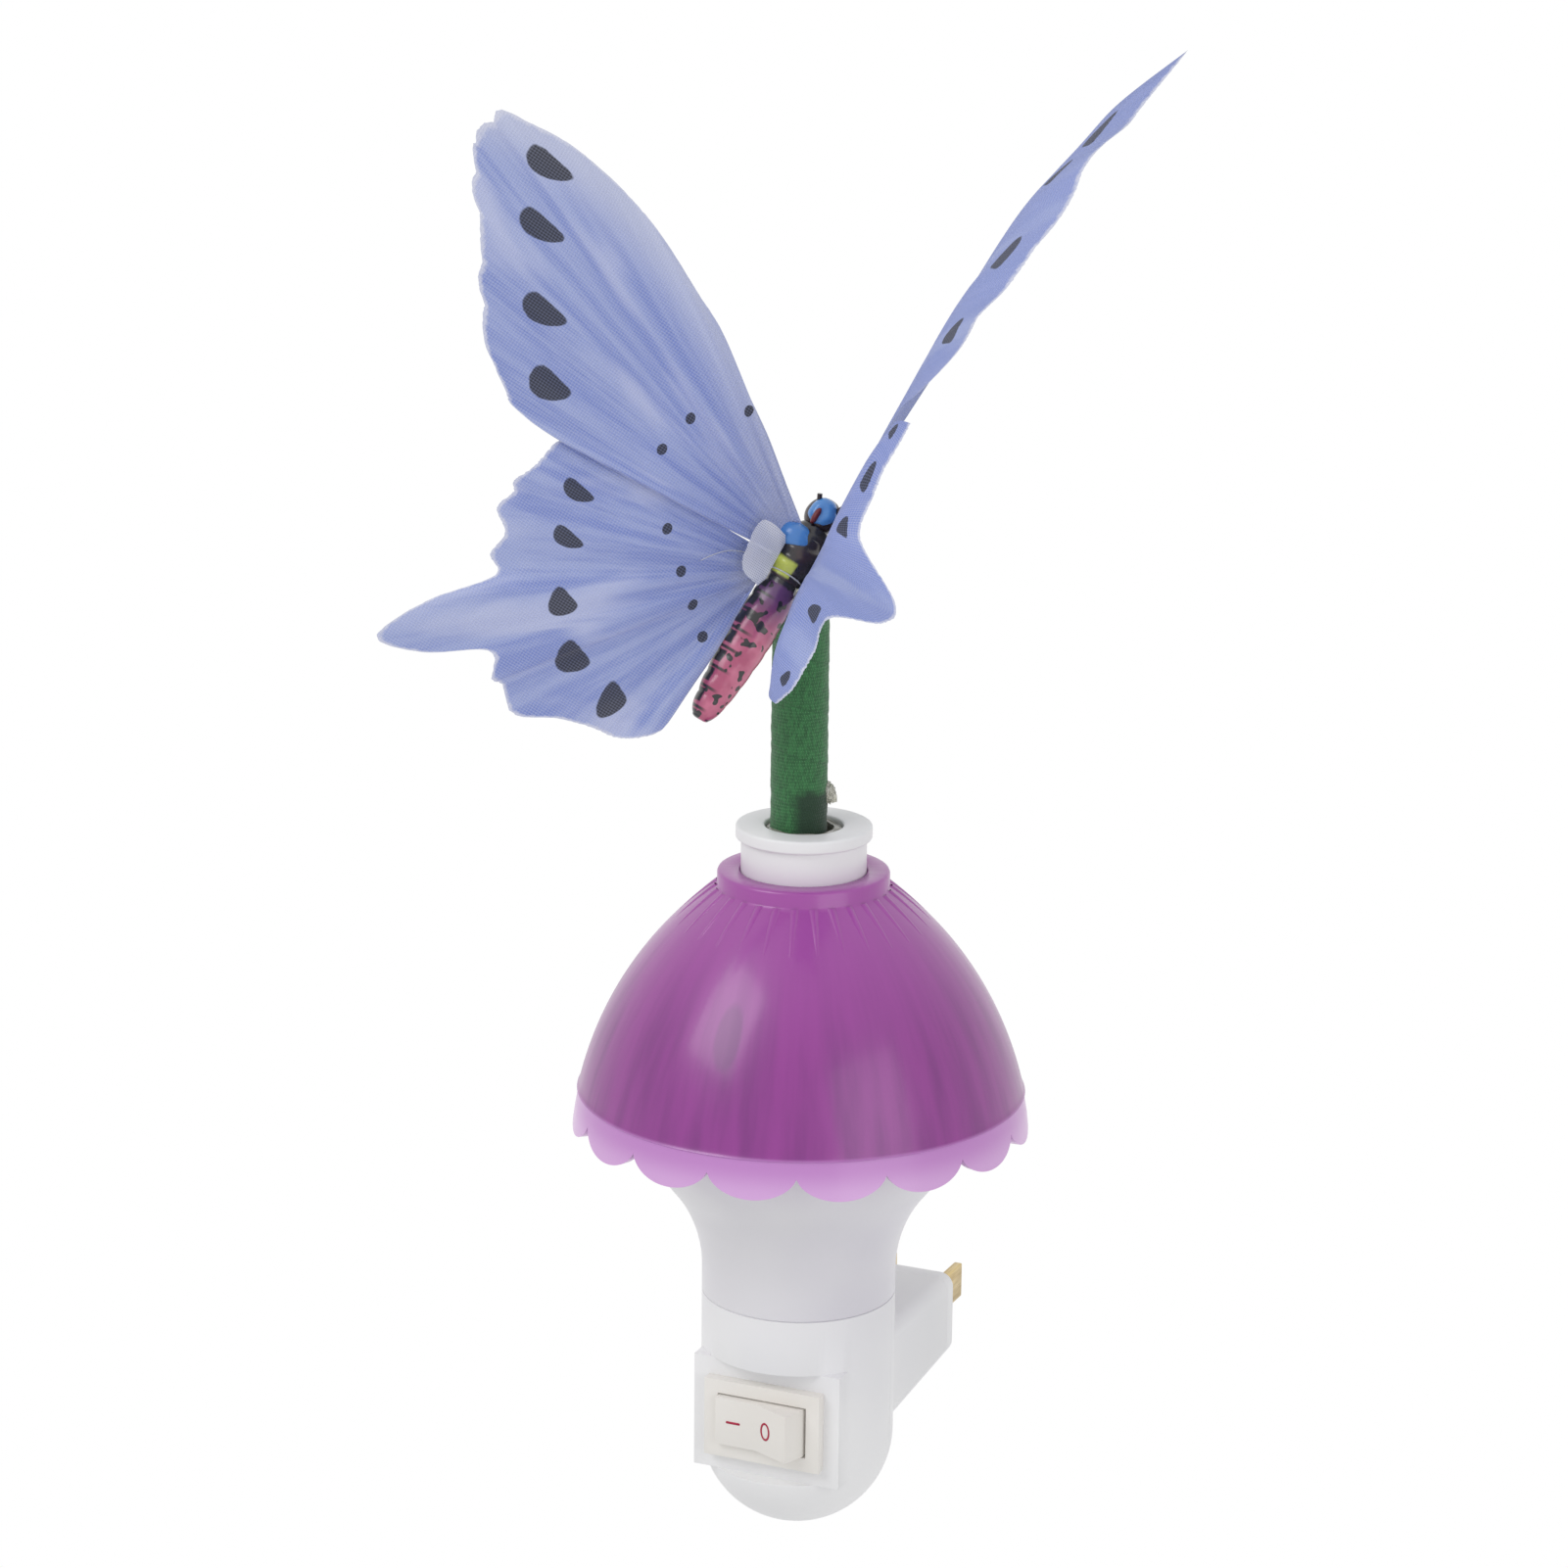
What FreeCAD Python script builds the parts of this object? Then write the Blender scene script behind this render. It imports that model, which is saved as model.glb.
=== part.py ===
import FreeCAD, Part
import math
import os
import Sketcher
from FreeCAD import Matrix, Placement, Rotation, Vector

# Plug-in night light: a domed shade on a trumpet cup, a wrapped stem and a cloth butterfly.
# Millimetres, +Z up, front towards -Y, origin at the middle of the plug's wall face.

doc = FreeCAD.newDocument("NightLight")
sheet = doc.addObject("Spreadsheet::Sheet", "Sizes")

SIZES = {
    # Base housing
    "axis_reach": 42.5,
    "housing_radius": 16.4,
    "housing_wall": 1.8,
    "housing_top": 18.5,
    "housing_bottom": -23.0,
    "part_back": 2.0,
    # Plug block, its face and its blades
    "plug_half_width": 11.6,
    "plug_half_high": 7.5,
    "plug_flare": 3.2,
    "plug_edge": 2.4,
    "plug_wall": 1.8,
    "face_thick": 2.4,
    "blade_pitch": 12.7,
    "blade_high": 6.35,
    "blade_thick": 1.52,
    "blade_reach": 16.0,
    "blade_tail": 5.0,
    "lead_radius": 0.9,
    "lead_bend": 5.0,
    "lead_turn": 8.5,
    "lead_apart": 3.8,
    "tight_bend": 1.6,
    # Housing screws
    "screw_upper": 12.0,
    "screw_lower": -16.0,
    "screw_radius": 1.3,
    "head_radius": 2.3,
    "head_high": 1.4,
    "screw_length": 18.0,
    "seat_back": 12.5,
    "boss_radius": 2.6,
    "thread_gap": 0.05,
    # Rocker switch
    "switch_level": -1.0,
    "pad_half_width": 13.3,
    "pad_half_high": 10.0,
    "pad_front": 13.1,
    "bezel_width": 21.0,
    "bezel_high": 13.8,
    "bezel_thick": 2.0,
    "case_width": 18.4,
    "case_high": 12.2,
    "case_depth": 9.5,
    "case_wall": 1.0,
    "case_gap": 0.1,
    "rocker_half": 7.2,
    "rocker_skirt": 7.8,
    "rocker_high": 8.4,
    "rocker_gap": 0.3,
    "rocker_side_gap": 0.9,
    "rocker_tilt": 12.0,
    "rocker_valley": 2.9,
    "rocker_keel": 2.4,
    "keel_half": 2.4,
    "pivot_radius": 1.0,
    "pivot_reach": 0.8,
    "pivot_gap": 0.08,
    "pivot_depth": 1.7,
    "contact_back": 1.5,
    "plunger_radius": 0.9,
    "contact_length": 9.0,
    "contact_width": 3.6,
    "contact_thick": 0.6,
    "terminal_width": 4.0,
    "terminal_thick": 0.8,
    "terminal_reach": 5.0,
    "terminal_spread": 4.8,
    # Cup under the shade
    "cup_straight": 4.0,
    "cup_arc": 23.4,
    "cup_turn": 38.5,
    "cup_wall": 1.4,
    "rim_gap": 0.25,
    "spigot_length": 3.0,
    "spigot_gap": 0.1,
    "deck_thick": 1.4,
    "deck_sink": 1.0,
    # Lamp board
    "board_thick": 1.6,
    "board_level": 27.0,
    "board_gap": 0.3,
    "led_radius": 2.5,
    "led_high": 8.6,
    "led_skirt": 1.0,
    "led_flange": 0.4,
    "led_ring": 9.0,
    "capacitor_long": 11.0,
    "capacitor_deep": 5.0,
    "capacitor_high": 9.0,
    "rectifier_wide": 5.0,
    "rectifier_deep": 7.0,
    "rectifier_high": 3.0,
    "resistor_radius": 1.2,
    "resistor_long": 6.5,
    # Shade
    "rim_radius": 37.2,
    "rim_level": 54.6,
    "hem_radius": 38.3,
    "hem_tip": 48.1,
    "hem_drop": 3.6,
    "hem_scallops": 16,
    "shade_wall": 1.5,
    "dome_arc": 60.0,
    "ring_radius": 14.3,
    "ring_base": 89.6,
    "ring_high": 2.8,
    # Collar, stem and glue
    "collar_radius": 10.4,
    "collar_gap": 0.1,
    "collar_depth": 14.5,
    "lip_radius": 11.3,
    "lip_thick": 2.2,
    "lip_rise": 7.7,
    "socket_radius": 6.5,
    "socket_depth": 9.0,
    "stem_radius": 4.7,
    "core_radius": 4.0,
    "stem_shift": -1.0,
    "stem_top": 140.6,
    "glue_sink": 0.6,
    # Butterfly
    "perch_side": 2.0,
    "perch_front": 7.8,
    "perch_level": 147.2,
    "body_radius": 3.7,
    "abdomen_length": 26.0,
    "abdomen_start": 5.0,
    "thorax_length": 10.0,
    "head_radius": 2.7,
    "eye_radius": 1.7,
    "feeler_radius": 0.4,
    "feeler_length": 3.0,
    "wing_thick": 0.5,
    "wing_tilt": 30.0,
    "gauze_thick": 0.2,
    "tie_radius": 0.25,
    "perch_blob": 3.6,
}

for row, (alias, value) in enumerate(SIZES.items(), start=1):
    sheet.set(f"A{row}", alias)
    sheet.set(f"B{row}", str(value))
    sheet.setAlias(f"B{row}", alias)
doc.recompute()

parts = {}


def value_of(expression):
    """Number that an expression on the sheet's cells gives now."""
    return float(sheet.evalExpression(expression))


def with_sheet(expression):
    """The same expression with each cell's name led by the sheet's name."""
    text = ""
    word = ""
    for letter in expression + " ":
        if letter.isalnum() or letter == "_":
            word += letter
            continue
        text += "Sizes." + word if word in SIZES else word
        text += letter
        word = ""
    return text.strip()


def bind(piece, expressions):
    for name, expression in expressions.items():
        piece.setExpression(name, with_sheet(expression))


def place(piece, x="0", y="0", z="0"):
    bind(piece, {"Placement.Base.x": x, "Placement.Base.y": y, "Placement.Base.z": z})


TURNS = {
    "Z": Rotation(),
    "Y": Rotation(Vector(1, 0, 0), -90),
    "X": Rotation(Vector(0, 1, 0), 90),
}


def cylinder(name, radius, high, x="0", y="0", z="0", along="Z"):
    """Cylinder that starts at a point and runs the positive way along an axis."""
    piece = doc.addObject("Part::Cylinder", name)
    piece.Placement = Placement(Vector(), TURNS[along])
    bind(piece, {"Radius": radius, "Height": high})
    place(piece, x, y, z)
    return piece


def swung(name, piece, degrees, x, y, z):
    """A piece made about the origin, swung about an upright line and set in place."""
    turned_piece = doc.addObject("Part::Compound", name)
    turned_piece.Links = [piece]
    turned_piece.Placement = Placement(Vector(), Rotation(Vector(0, 0, 1), 1))
    bind(turned_piece, {"Placement.Rotation.Angle": degrees})
    place(turned_piece, x, y, z)
    return turned_piece


def sphere(name, radius, x="0", y="0", z="0"):
    piece = doc.addObject("Part::Sphere", name)
    bind(piece, {"Radius": radius})
    place(piece, x, y, z)
    return piece


def box(name, wide, deep, high, x="0", y="0", z="0"):
    """Box centred on x and z, with its nearest face at y."""
    piece = doc.addObject("Part::Box", name)
    bind(piece, {"Length": wide, "Width": deep, "Height": high})
    place(piece, f"({x}) - ({wide}) / 2", y, f"({z}) - ({high}) / 2")
    return piece


def fuse(name, *pieces):
    piece = doc.addObject("Part::MultiFuse", name)
    piece.Shapes = list(pieces)
    return piece


def cut(name, base, *tools):
    piece = doc.addObject("Part::Cut", name)
    piece.Base = base
    piece.Tool = tools[0] if len(tools) == 1 else fuse(name + "_tools", *tools)
    return piece


def common(name, *pieces):
    piece = doc.addObject("Part::MultiCommon", name)
    piece.Shapes = list(pieces)
    return piece


def rounded(name, base, radius, chosen):
    """Fillet on the edges of the base that the test picks."""
    doc.recompute()
    piece = doc.addObject("Part::Fillet", name)
    piece.Base = base
    picked = [index for index, edge in enumerate(base.Shape.Edges, start=1) if chosen(edge)]
    piece.Edges = [(index, radius, radius) for index in picked]
    return piece


def keep(node, piece):
    """Make a finished object the sub-part of this name."""
    piece.Label = node
    parts[node] = piece
    return piece


def solid(node, shape):
    """Sub-part whose shape is worked out from the sheet by the code here."""
    piece = doc.addObject("Part::Feature", node + "_solid")
    piece.Shape = shape
    return keep(node, piece)


def plane_of(body, role):
    return [item for item in body.Origin.OriginFeatures if item.Role == role][0]


def pin_corner(sketch, index, end, name, corner):
    """Tie one sketch point to the expressions of its corner."""
    for kind, axis, expression in (("DistanceX", -2, corner[0]), ("DistanceY", -1, corner[1])):
        if value_of(expression) == 0:
            sketch.addConstraint(Sketcher.Constraint("PointOnObject", index, end, axis))
            continue
        number = value_of(expression)
        spot = sketch.addConstraint(Sketcher.Constraint(kind, -1, 1, index, end, number))
        sketch.renameConstraint(spot, f"{name}_{kind[-1]}")
        bind(sketch, {f"Constraints.{name}_{kind[-1]}": expression})


def profile(body, name, corners, plane="XZ_Plane"):
    """Closed sketch. A corner is (x, y), or (x, y, radius) where an arc runs to the next one:
    its radius is positive where the arc turns left, and negative where it turns right."""
    sketch = body.newObject("Sketcher::SketchObject", name)
    sketch.AttachmentSupport = (plane_of(body, plane), [""])
    sketch.MapMode = "FlatFace"
    spots = [Vector(value_of(corner[0]), value_of(corner[1]), 0) for corner in corners]
    starts = []
    ends = []
    for index, corner in enumerate(corners):
        start = spots[index]
        end = spots[(index + 1) % len(spots)]
        if len(corner) == 2:
            sketch.addGeometry(Part.LineSegment(start, end))
            starts.append(1)
            ends.append(2)
            continue
        radius = value_of(corner[2])
        chord = end - start
        left = Vector(-chord.y, chord.x, 0).normalize()
        rise = abs(radius) - math.sqrt(radius ** 2 - chord.Length ** 2 / 4)
        middle = (start + end) / 2 - left * math.copysign(rise, radius)
        turns_left = radius > 0
        sketch.addGeometry(Part.Arc(start, middle, end) if turns_left else Part.Arc(end, middle, start))
        starts.append(1 if turns_left else 2)
        ends.append(2 if turns_left else 1)
    for index, corner in enumerate(corners):
        after = (index + 1) % len(corners)
        sketch.addConstraint(Sketcher.Constraint("Coincident", index, ends[index], after, starts[after]))
        pin_corner(sketch, index, starts[index], f"corner{index}", corner)
        if len(corner) == 3:
            radius = value_of(corner[2])
            spot = sketch.addConstraint(Sketcher.Constraint("Radius", index, abs(radius)))
            sketch.renameConstraint(spot, f"bend{index}")
            bind(sketch, {f"Constraints.bend{index}": f"abs({corner[2]})"})
    return sketch


def turned(name, corners):
    """Body of revolution about the vertical line through its own origin."""
    body = doc.addObject("PartDesign::Body", name)
    sketch = profile(body, name + "_profile", corners)
    feature = body.newObject("PartDesign::Revolution", name + "_turn")
    feature.Profile = (sketch, [""])
    feature.ReferenceAxis = (sketch, ["V_Axis"])
    feature.Angle = 360
    return body


def raised(name, corners, high, low):
    """Body padded upwards from a sketch on its XY plane."""
    body = doc.addObject("PartDesign::Body", name)
    sketch = profile(body, name + "_profile", corners, "XY_Plane")
    feature = body.newObject("PartDesign::Pad", name + "_pad")
    feature.Profile = (sketch, [""])
    bind(feature, {"Length": high})
    place(body, "0", "0", low)
    return body


# Base housing: a half cylinder with a round bottom, straight sides and a flat switch pad

axis_y = "-axis_reach"
part_line = "-axis_reach + part_back"
round_centre = "housing_bottom + housing_radius"


def capsule(name, inset, rise):
    """Upright cylinder with a round bottom, open or closed at the housing's top."""
    radius = f"housing_radius - {inset}"
    high = f"housing_top + {rise} - ({round_centre})"
    upright = cylinder(name + "_upright", radius, high, y=axis_y, z=round_centre)
    ball = sphere(name + "_ball", radius, y=axis_y, z=round_centre)
    return fuse(name, upright, ball)


def padded_form(name, inset, rise="0"):
    """The capsule with the flat switch pad, or the room inside when inset by the wall."""
    face = f"-axis_reach - pad_front + {inset}"
    pad = box(name + "_pad", f"2 * (pad_half_width - {inset})", f"pad_front - {inset}",
              f"2 * (pad_half_high - {inset})", y=face, z="switch_level")
    pad_cut = box(name + "_flat", "4 * housing_radius", "housing_radius", f"2 * (pad_half_high + {inset})",
                  y=f"{face} - housing_radius", z="switch_level")
    return cut(name, fuse(name + "_whole", capsule(name + "_capsule", inset, rise), pad), pad_cut)


def bosses(name, radius, start, long):
    upper = cylinder(name + "_upper", radius, long, y=start, z="screw_upper", along="Y")
    lower = cylinder(name + "_lower", radius, long, y=start, z="screw_lower", along="Y")
    return fuse(name, upper, lower)


open_top = "housing_wall"
behind = box("behind", "4 * housing_radius", "4 * housing_radius", "8 * housing_radius", y=part_line)
ahead = box("ahead", "4 * housing_radius", "4 * housing_radius", "8 * housing_radius",
            y=f"{part_line} - 4 * housing_radius")
front_shell = cut("front_shell", padded_form("front_outer", "0"),
                  padded_form("front_inner", "housing_wall", open_top))
boss_posts = common("boss_posts", bosses("boss_bars", "boss_radius", f"{axis_y} - housing_radius", "2 * housing_radius"),
                    padded_form("boss_room", "housing_wall / 2"))
head_seat = "-axis_reach + seat_back"
screw_start = f"{head_seat} - screw_length"
screw_holes = bosses("screw_holes", "screw_radius + thread_gap", f"{screw_start} - thread_gap", "3 * housing_radius")
switch_hole = box(
    "switch_hole", "case_width + 2 * case_gap", "2 * pad_front", "case_high + 2 * case_gap",
    y="-axis_reach - 2 * pad_front - housing_radius / 4", z="switch_level")
keep("front_housing", cut("front_finished", fuse("front_whole", front_shell, boss_posts),
                          behind, switch_hole, screw_holes))

# Rear housing: the back of the same capsule, with the plug block moulded on behind


def plug_form(node, inset, start, end):
    """Block from the housing to the wall, taller at the housing than at the wall."""
    body = doc.addObject("PartDesign::Body", node)
    low_housing = f"-plug_half_high - plug_flare + {inset}"
    low_wall = f"-plug_half_high + {inset}"
    high = f"plug_half_high - {inset}"
    corners = [(start, low_housing), (end, low_wall), (end, high), (start, high)]
    sketch = profile(body, node + "_side", corners, "YZ_Plane")
    feature = body.newObject("PartDesign::Pad", node + "_pad")
    feature.Profile = (sketch, [""])
    feature.Midplane = True
    bind(feature, {"Length": f"2 * (plug_half_width - {inset})"})
    return body


block_start = "-axis_reach + part_back + housing_wall"
block_outer = plug_form("plug_outer", "0", block_start, "0")


def runs_back(edge):
    """True for the block's four long edges."""
    span = edge.BoundBox
    return span.YLength > 10 and span.XLength < 1


block_round = rounded("plug_round", block_outer, value_of("plug_edge"), runs_back)
face_slab = box("face_slab", "4 * plug_half_width", "face_thick", "8 * plug_half_high", y="-face_thick")
block_rear = cut("block_rear", block_round, face_slab)
block_inner = plug_form("plug_inner", "plug_wall", f"{block_start} - housing_wall", "0")
rear_outer = fuse("rear_outer", capsule("rear_capsule", "0", "0"), block_rear)
rear_hollow = cut("rear_hollow", rear_outer, capsule("rear_room", "housing_wall", open_top), block_inner)
rear_posts = common("rear_posts", bosses("rear_bars", "boss_radius + housing_wall / 2", part_line, "housing_radius"),
                    capsule("rear_trim", "housing_wall / 2", "0"))
head_ways = bosses("head_ways", "head_radius + thread_gap", head_seat, "2 * housing_radius")
keep("rear_housing", cut("rear_finished", fuse("rear_whole", rear_hollow, rear_posts),
                         ahead, head_ways, screw_holes))

shanks = bosses("shanks", "screw_radius", screw_start, "screw_length")
heads = bosses("heads", "head_radius", head_seat, "head_high")
keep("housing_screws", fuse("screws", shanks, heads))

# Plug face with its two flat blades

face_block = common("face_block", block_round, face_slab)
blade_slots = []
for side, word in ((-1, "left"), (1, "right")):
    centre = f"{side} * blade_pitch / 2"
    long = "blade_reach + face_thick + blade_tail"
    start = "-face_thick - blade_tail"
    blade = box(f"blade_{word}_bar", "blade_thick", long, "blade_high", x=centre, y=start)
    keep(f"blade_{word}", blade)
    blade_slots.append(box(f"slot_{word}", "blade_thick", long, "blade_high", x=centre, y=start))
keep("plug_face", cut("face_finished", face_block, *blade_slots))

# Rocker switch: bezel and case, rocker with its plunger and contact bar, and terminals

bezel_front = "-axis_reach - pad_front - bezel_thick"
pad_plane = "-axis_reach - pad_front"
opening_wide = "2 * (rocker_half + rocker_side_gap)"
opening_high = "rocker_high + 2 * rocker_gap"
bezel = box("bezel", "bezel_width", "bezel_thick", "bezel_high", y=bezel_front, z="switch_level")
case = box("case", "case_width", "case_depth", "case_high", y=pad_plane, z="switch_level")
case_room = box(
    "case_room", opening_wide, "case_depth + bezel_thick - case_wall",
    opening_high, y=bezel_front, z="switch_level")
pivot_y = f"{bezel_front} + pivot_depth"
pivot_hole = cylinder(
    "pivot_hole", "pivot_radius + pivot_gap", "rocker_high + 2 * pivot_reach + 2 * pivot_gap",
    y=pivot_y, z="switch_level - rocker_high / 2 - pivot_reach - pivot_gap")
terminal_ways = []
terminals = []
case_back = f"{pad_plane} + case_depth"
for side in (-1, 1):
    spot = f"{side} * terminal_spread"
    tab_start = f"{case_back} - case_wall"
    tab_long = "case_wall + terminal_reach"
    terminals.append(box(f"terminal{side + 1}", "terminal_thick", tab_long, "terminal_width",
                         x=spot, y=tab_start, z="switch_level"))
    terminal_ways.append(box(f"terminal_way{side + 1}", "terminal_thick", tab_long, "terminal_width",
                             x=spot, y=tab_start, z="switch_level"))
keep("switch_frame", cut("frame_finished", fuse("frame_whole", bezel, case), case_room, pivot_hole, *terminal_ways))
keep("switch_terminals", fuse("terminal_set", *terminals))

wedge = "rocker_half * tan(rocker_tilt)"
rocker_corners = [
    ("0", "-rocker_valley"),
    ("rocker_half", f"-rocker_valley - {wedge}"),
    ("rocker_skirt", "-pivot_radius / 2"),
    ("rocker_skirt - pivot_radius / 4", "rocker_keel - 1"),
    ("keel_half", "rocker_keel"),
    ("-keel_half", "rocker_keel"),
    ("-rocker_skirt + pivot_radius / 4", "rocker_keel - 1"),
    ("-rocker_skirt", "-pivot_radius / 2"),
    ("-rocker_half", f"-rocker_valley - {wedge}"),
]
rocker_body = raised("rocker_block", rocker_corners, "rocker_high", "-rocker_high / 2")
rocker_axle = cylinder("rocker_axle", "pivot_radius", "rocker_high + 2 * pivot_reach",
                       z="-rocker_high / 2 - pivot_reach")
rocker = fuse("rocker_whole", rocker_body, rocker_axle)
keep("switch_rocker", swung("rocker_swung", rocker, "-rocker_tilt", "0", pivot_y, "switch_level"))

plunger_end = f"({case_back}) - case_wall - contact_back - ({pivot_y})"
plunger = cylinder("plunger_pin", "plunger_radius", f"{plunger_end} - rocker_keel", y="rocker_keel", along="Y")
keep("rocker_plunger", swung("plunger_swung", plunger, "-rocker_tilt", "0", pivot_y, "switch_level"))
contact = box("contact_bar", "contact_length", "contact_thick", "contact_width", y=plunger_end)
keep("switch_contact", swung("contact_swung", contact, "-rocker_tilt", "0", pivot_y, "switch_level"))

# Leads from the blades to the switch and the board


def lead(node, spots, bend):
    """Round wire along straight runs joined by tangent arcs."""
    points = [Vector(*spot) for spot in spots]
    edges = []
    here = points[0]
    for before, corner, after in zip(points, points[1:], points[2:]):
        came = (corner - before).normalize()
        goes = (after - corner).normalize()
        turn = came.getAngle(goes)
        reach = bend * math.tan(turn / 2)
        arc_start = corner - came * reach
        arc_end = corner + goes * reach
        inward = (goes - came).normalize()
        arc_middle = corner + inward * (bend / math.cos(turn / 2) - bend)
        edges.append(Part.LineSegment(here, arc_start).toShape())
        edges.append(Part.Arc(arc_start, arc_middle, arc_end).toShape())
        here = arc_end
    edges.append(Part.LineSegment(here, points[-1]).toShape())
    route = Part.Wire(edges)
    ring = Part.Wire([Part.Circle(points[0], points[1] - points[0], value_of("lead_radius")).toShape()])
    solid(node, route.makePipeShell([ring], True, False))


blade_end = value_of("-face_thick - blade_tail")
blade_x = value_of("blade_pitch / 2")
tab_end = value_of(f"{case_back} + terminal_reach")
tab_x = value_of("terminal_spread")
switch_z = value_of("switch_level")
board_bottom = value_of("board_level")
rise_y = value_of("-axis_reach + lead_turn")
bend = value_of("lead_bend")
lead("lead_live", [(-blade_x, blade_end, 0), (-blade_x, rise_y, 0),
                   (-tab_x, tab_end + value_of("lead_radius / 3"), switch_z)], bend)
lead("lead_neutral", [(blade_x, blade_end, 0), (blade_x, rise_y, 0), (blade_x, rise_y, board_bottom)], bend)
apart_y = rise_y - value_of("lead_apart")
lead("lead_switched", [(tab_x, tab_end, switch_z), (tab_x, apart_y, switch_z), (tab_x, apart_y, board_bottom)],
     value_of("tight_bend"))

# Trumpet cup, its deck and the lamp board inside

cup_base = "housing_top"
arc_base = "housing_top + cup_straight"
arc_out = "housing_radius + cup_arc * (1 - cos(cup_turn))"
arc_top = f"{arc_base} + cup_arc * sin(cup_turn)"
rim_out = "rim_radius - shade_wall - rim_gap"
rim_top = f"{arc_top} + (({rim_out}) - ({arc_out})) / tan(cup_turn)"
wall_arc = "cup_arc + cup_wall"
inner_arc_out = "housing_radius - cup_wall + (cup_arc + cup_wall) * (1 - cos(cup_turn))"
inner_arc_top = f"{arc_base} + (cup_arc + cup_wall) * sin(cup_turn)"
inner_rim = f"({rim_out}) - cup_wall / cos(cup_turn)"
spigot_out = "housing_radius - housing_wall - spigot_gap"
spigot_in = "housing_radius - housing_wall - spigot_gap - cup_wall"
cup_corners = [
    (spigot_in, "housing_top - spigot_length"),
    (spigot_out, "housing_top - spigot_length"),
    (spigot_out, cup_base),
    ("housing_radius", cup_base),
    ("housing_radius", arc_base, "-cup_arc"),
    (arc_out, arc_top),
    (rim_out, rim_top),
    (inner_rim, rim_top),
    (inner_arc_out, inner_arc_top, wall_arc),
    ("housing_radius - cup_wall", arc_base),
    ("housing_radius - cup_wall", f"{cup_base} + cup_wall"),
    (spigot_in, f"{cup_base}"),
]
cup = turned("cup_turned", cup_corners)
place(cup, "0", axis_y, "0")
keep("lamp_cup", cup)

deck_radius = f"({inner_rim}) - (deck_thick + deck_sink) * tan(cup_turn) - rim_gap"
deck_level = f"{rim_top} - deck_sink - deck_thick"
deck = cylinder("deck_disc", deck_radius, "deck_thick", y=axis_y, z=deck_level)
led_ways = []
leds = []
for number, turn in enumerate((0, 120, 240)):
    x = f"led_ring * sin({turn})"
    y = f"-axis_reach - led_ring * cos({turn})"
    led_ways.append(cylinder(f"led_way{number}", "led_radius + rim_gap", "3 * deck_thick",
                             x=x, y=y, z=f"{deck_level} - deck_thick"))
    stalk = cylinder(f"led_stalk{number}", "led_radius", "led_high - led_radius", x=x, y=y,
                     z=f"{deck_level} - led_skirt")
    tip = sphere(f"led_tip{number}", "led_radius", x=x, y=y,
                 z=f"{deck_level} - led_skirt + led_high - led_radius")
    flange = cylinder(f"led_flange{number}", "led_radius + led_flange", "led_skirt", x=x, y=y,
                      z=f"{deck_level} - led_skirt")
    leds.append(fuse(f"led{number}", stalk, tip, flange))
keep("cup_deck", cut("deck_finished", deck, *led_ways))
keep("lamp_leds", fuse("led_set", *leds))

board_radius = "housing_radius - cup_wall - board_gap"
board = cylinder("board_disc", board_radius, "board_thick", y=axis_y, z="board_level")
keep("circuit_board", board)
board_top = "board_level + board_thick"
keep("dropper_capacitor", box(
    "capacitor", "capacitor_long", "capacitor_deep", "capacitor_high", x="-capacitor_long / 2",
    y="-axis_reach - capacitor_deep - 1", z=f"{board_top} + capacitor_high / 2"))
keep("bridge_rectifier", box(
    "rectifier", "rectifier_wide", "rectifier_deep", "rectifier_high", x="rectifier_wide / 2 + 3",
    y="-axis_reach - rectifier_deep / 2", z=f"{board_top} + rectifier_high / 2"))
resistors = [
    cylinder(f"resistor{number}", "resistor_radius", "resistor_long", x="-resistor_long / 2 - 1",
             y=f"-axis_reach + {spot} * resistor_radius", z=f"{board_top} + resistor_radius", along="X")
    for number, spot in enumerate((3, 6))
]
keep("board_resistors", fuse("resistor_set", *resistors))

# Shade: a dome with a top ring and a scalloped hem

ring_top = "ring_base + ring_high"
shade_corners = [
    ("hem_radius", "hem_tip"),
    ("rim_radius", "rim_level", "dome_arc"),
    ("ring_radius", "ring_base"),
    ("ring_radius", ring_top),
    ("collar_radius + collar_gap", ring_top),
    ("collar_radius + collar_gap", "ring_base - shade_wall"),
    ("ring_radius - shade_wall", "ring_base - shade_wall * 1.2", "-(dome_arc - shade_wall)"),
    ("rim_radius - shade_wall", "rim_level"),
    ("hem_radius - shade_wall", "hem_tip"),
]
dome = turned("dome_turned", shade_corners)
hem_band = cylinder("hem_band", "2 * hem_radius", "hem_drop + 1", z="hem_tip - 1")
lobe_half = "hem_radius * sin(180 / hem_scallops)"
lobe_radius = f"(({lobe_half})^2 + hem_drop^2) / (2 * hem_drop)"
lobes = []
for number in range(round(value_of("hem_scallops"))):
    turn = 360.0 / value_of("hem_scallops") * (number + 0.5)
    copy = doc.addObject("Part::Cylinder", f"hem_lobe{number}")
    copy.Placement = Placement(Vector(), Rotation(Vector(0, 0, 1), turn) * TURNS["X"])
    bind(copy, {"Radius": lobe_radius, "Height": "2 * hem_radius",
                "Placement.Base.z": f"hem_tip + {lobe_radius}"})
    lobes.append(copy)
hem_waste = cut("hem_waste", hem_band, fuse("hem_lobes", *lobes))
shade = cut("shade_finished", dome, hem_waste)
place(shade, "0", axis_y, "0")
keep("shade", shade)

# Collar pressed into the ring, with the stem glued in its socket

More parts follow.
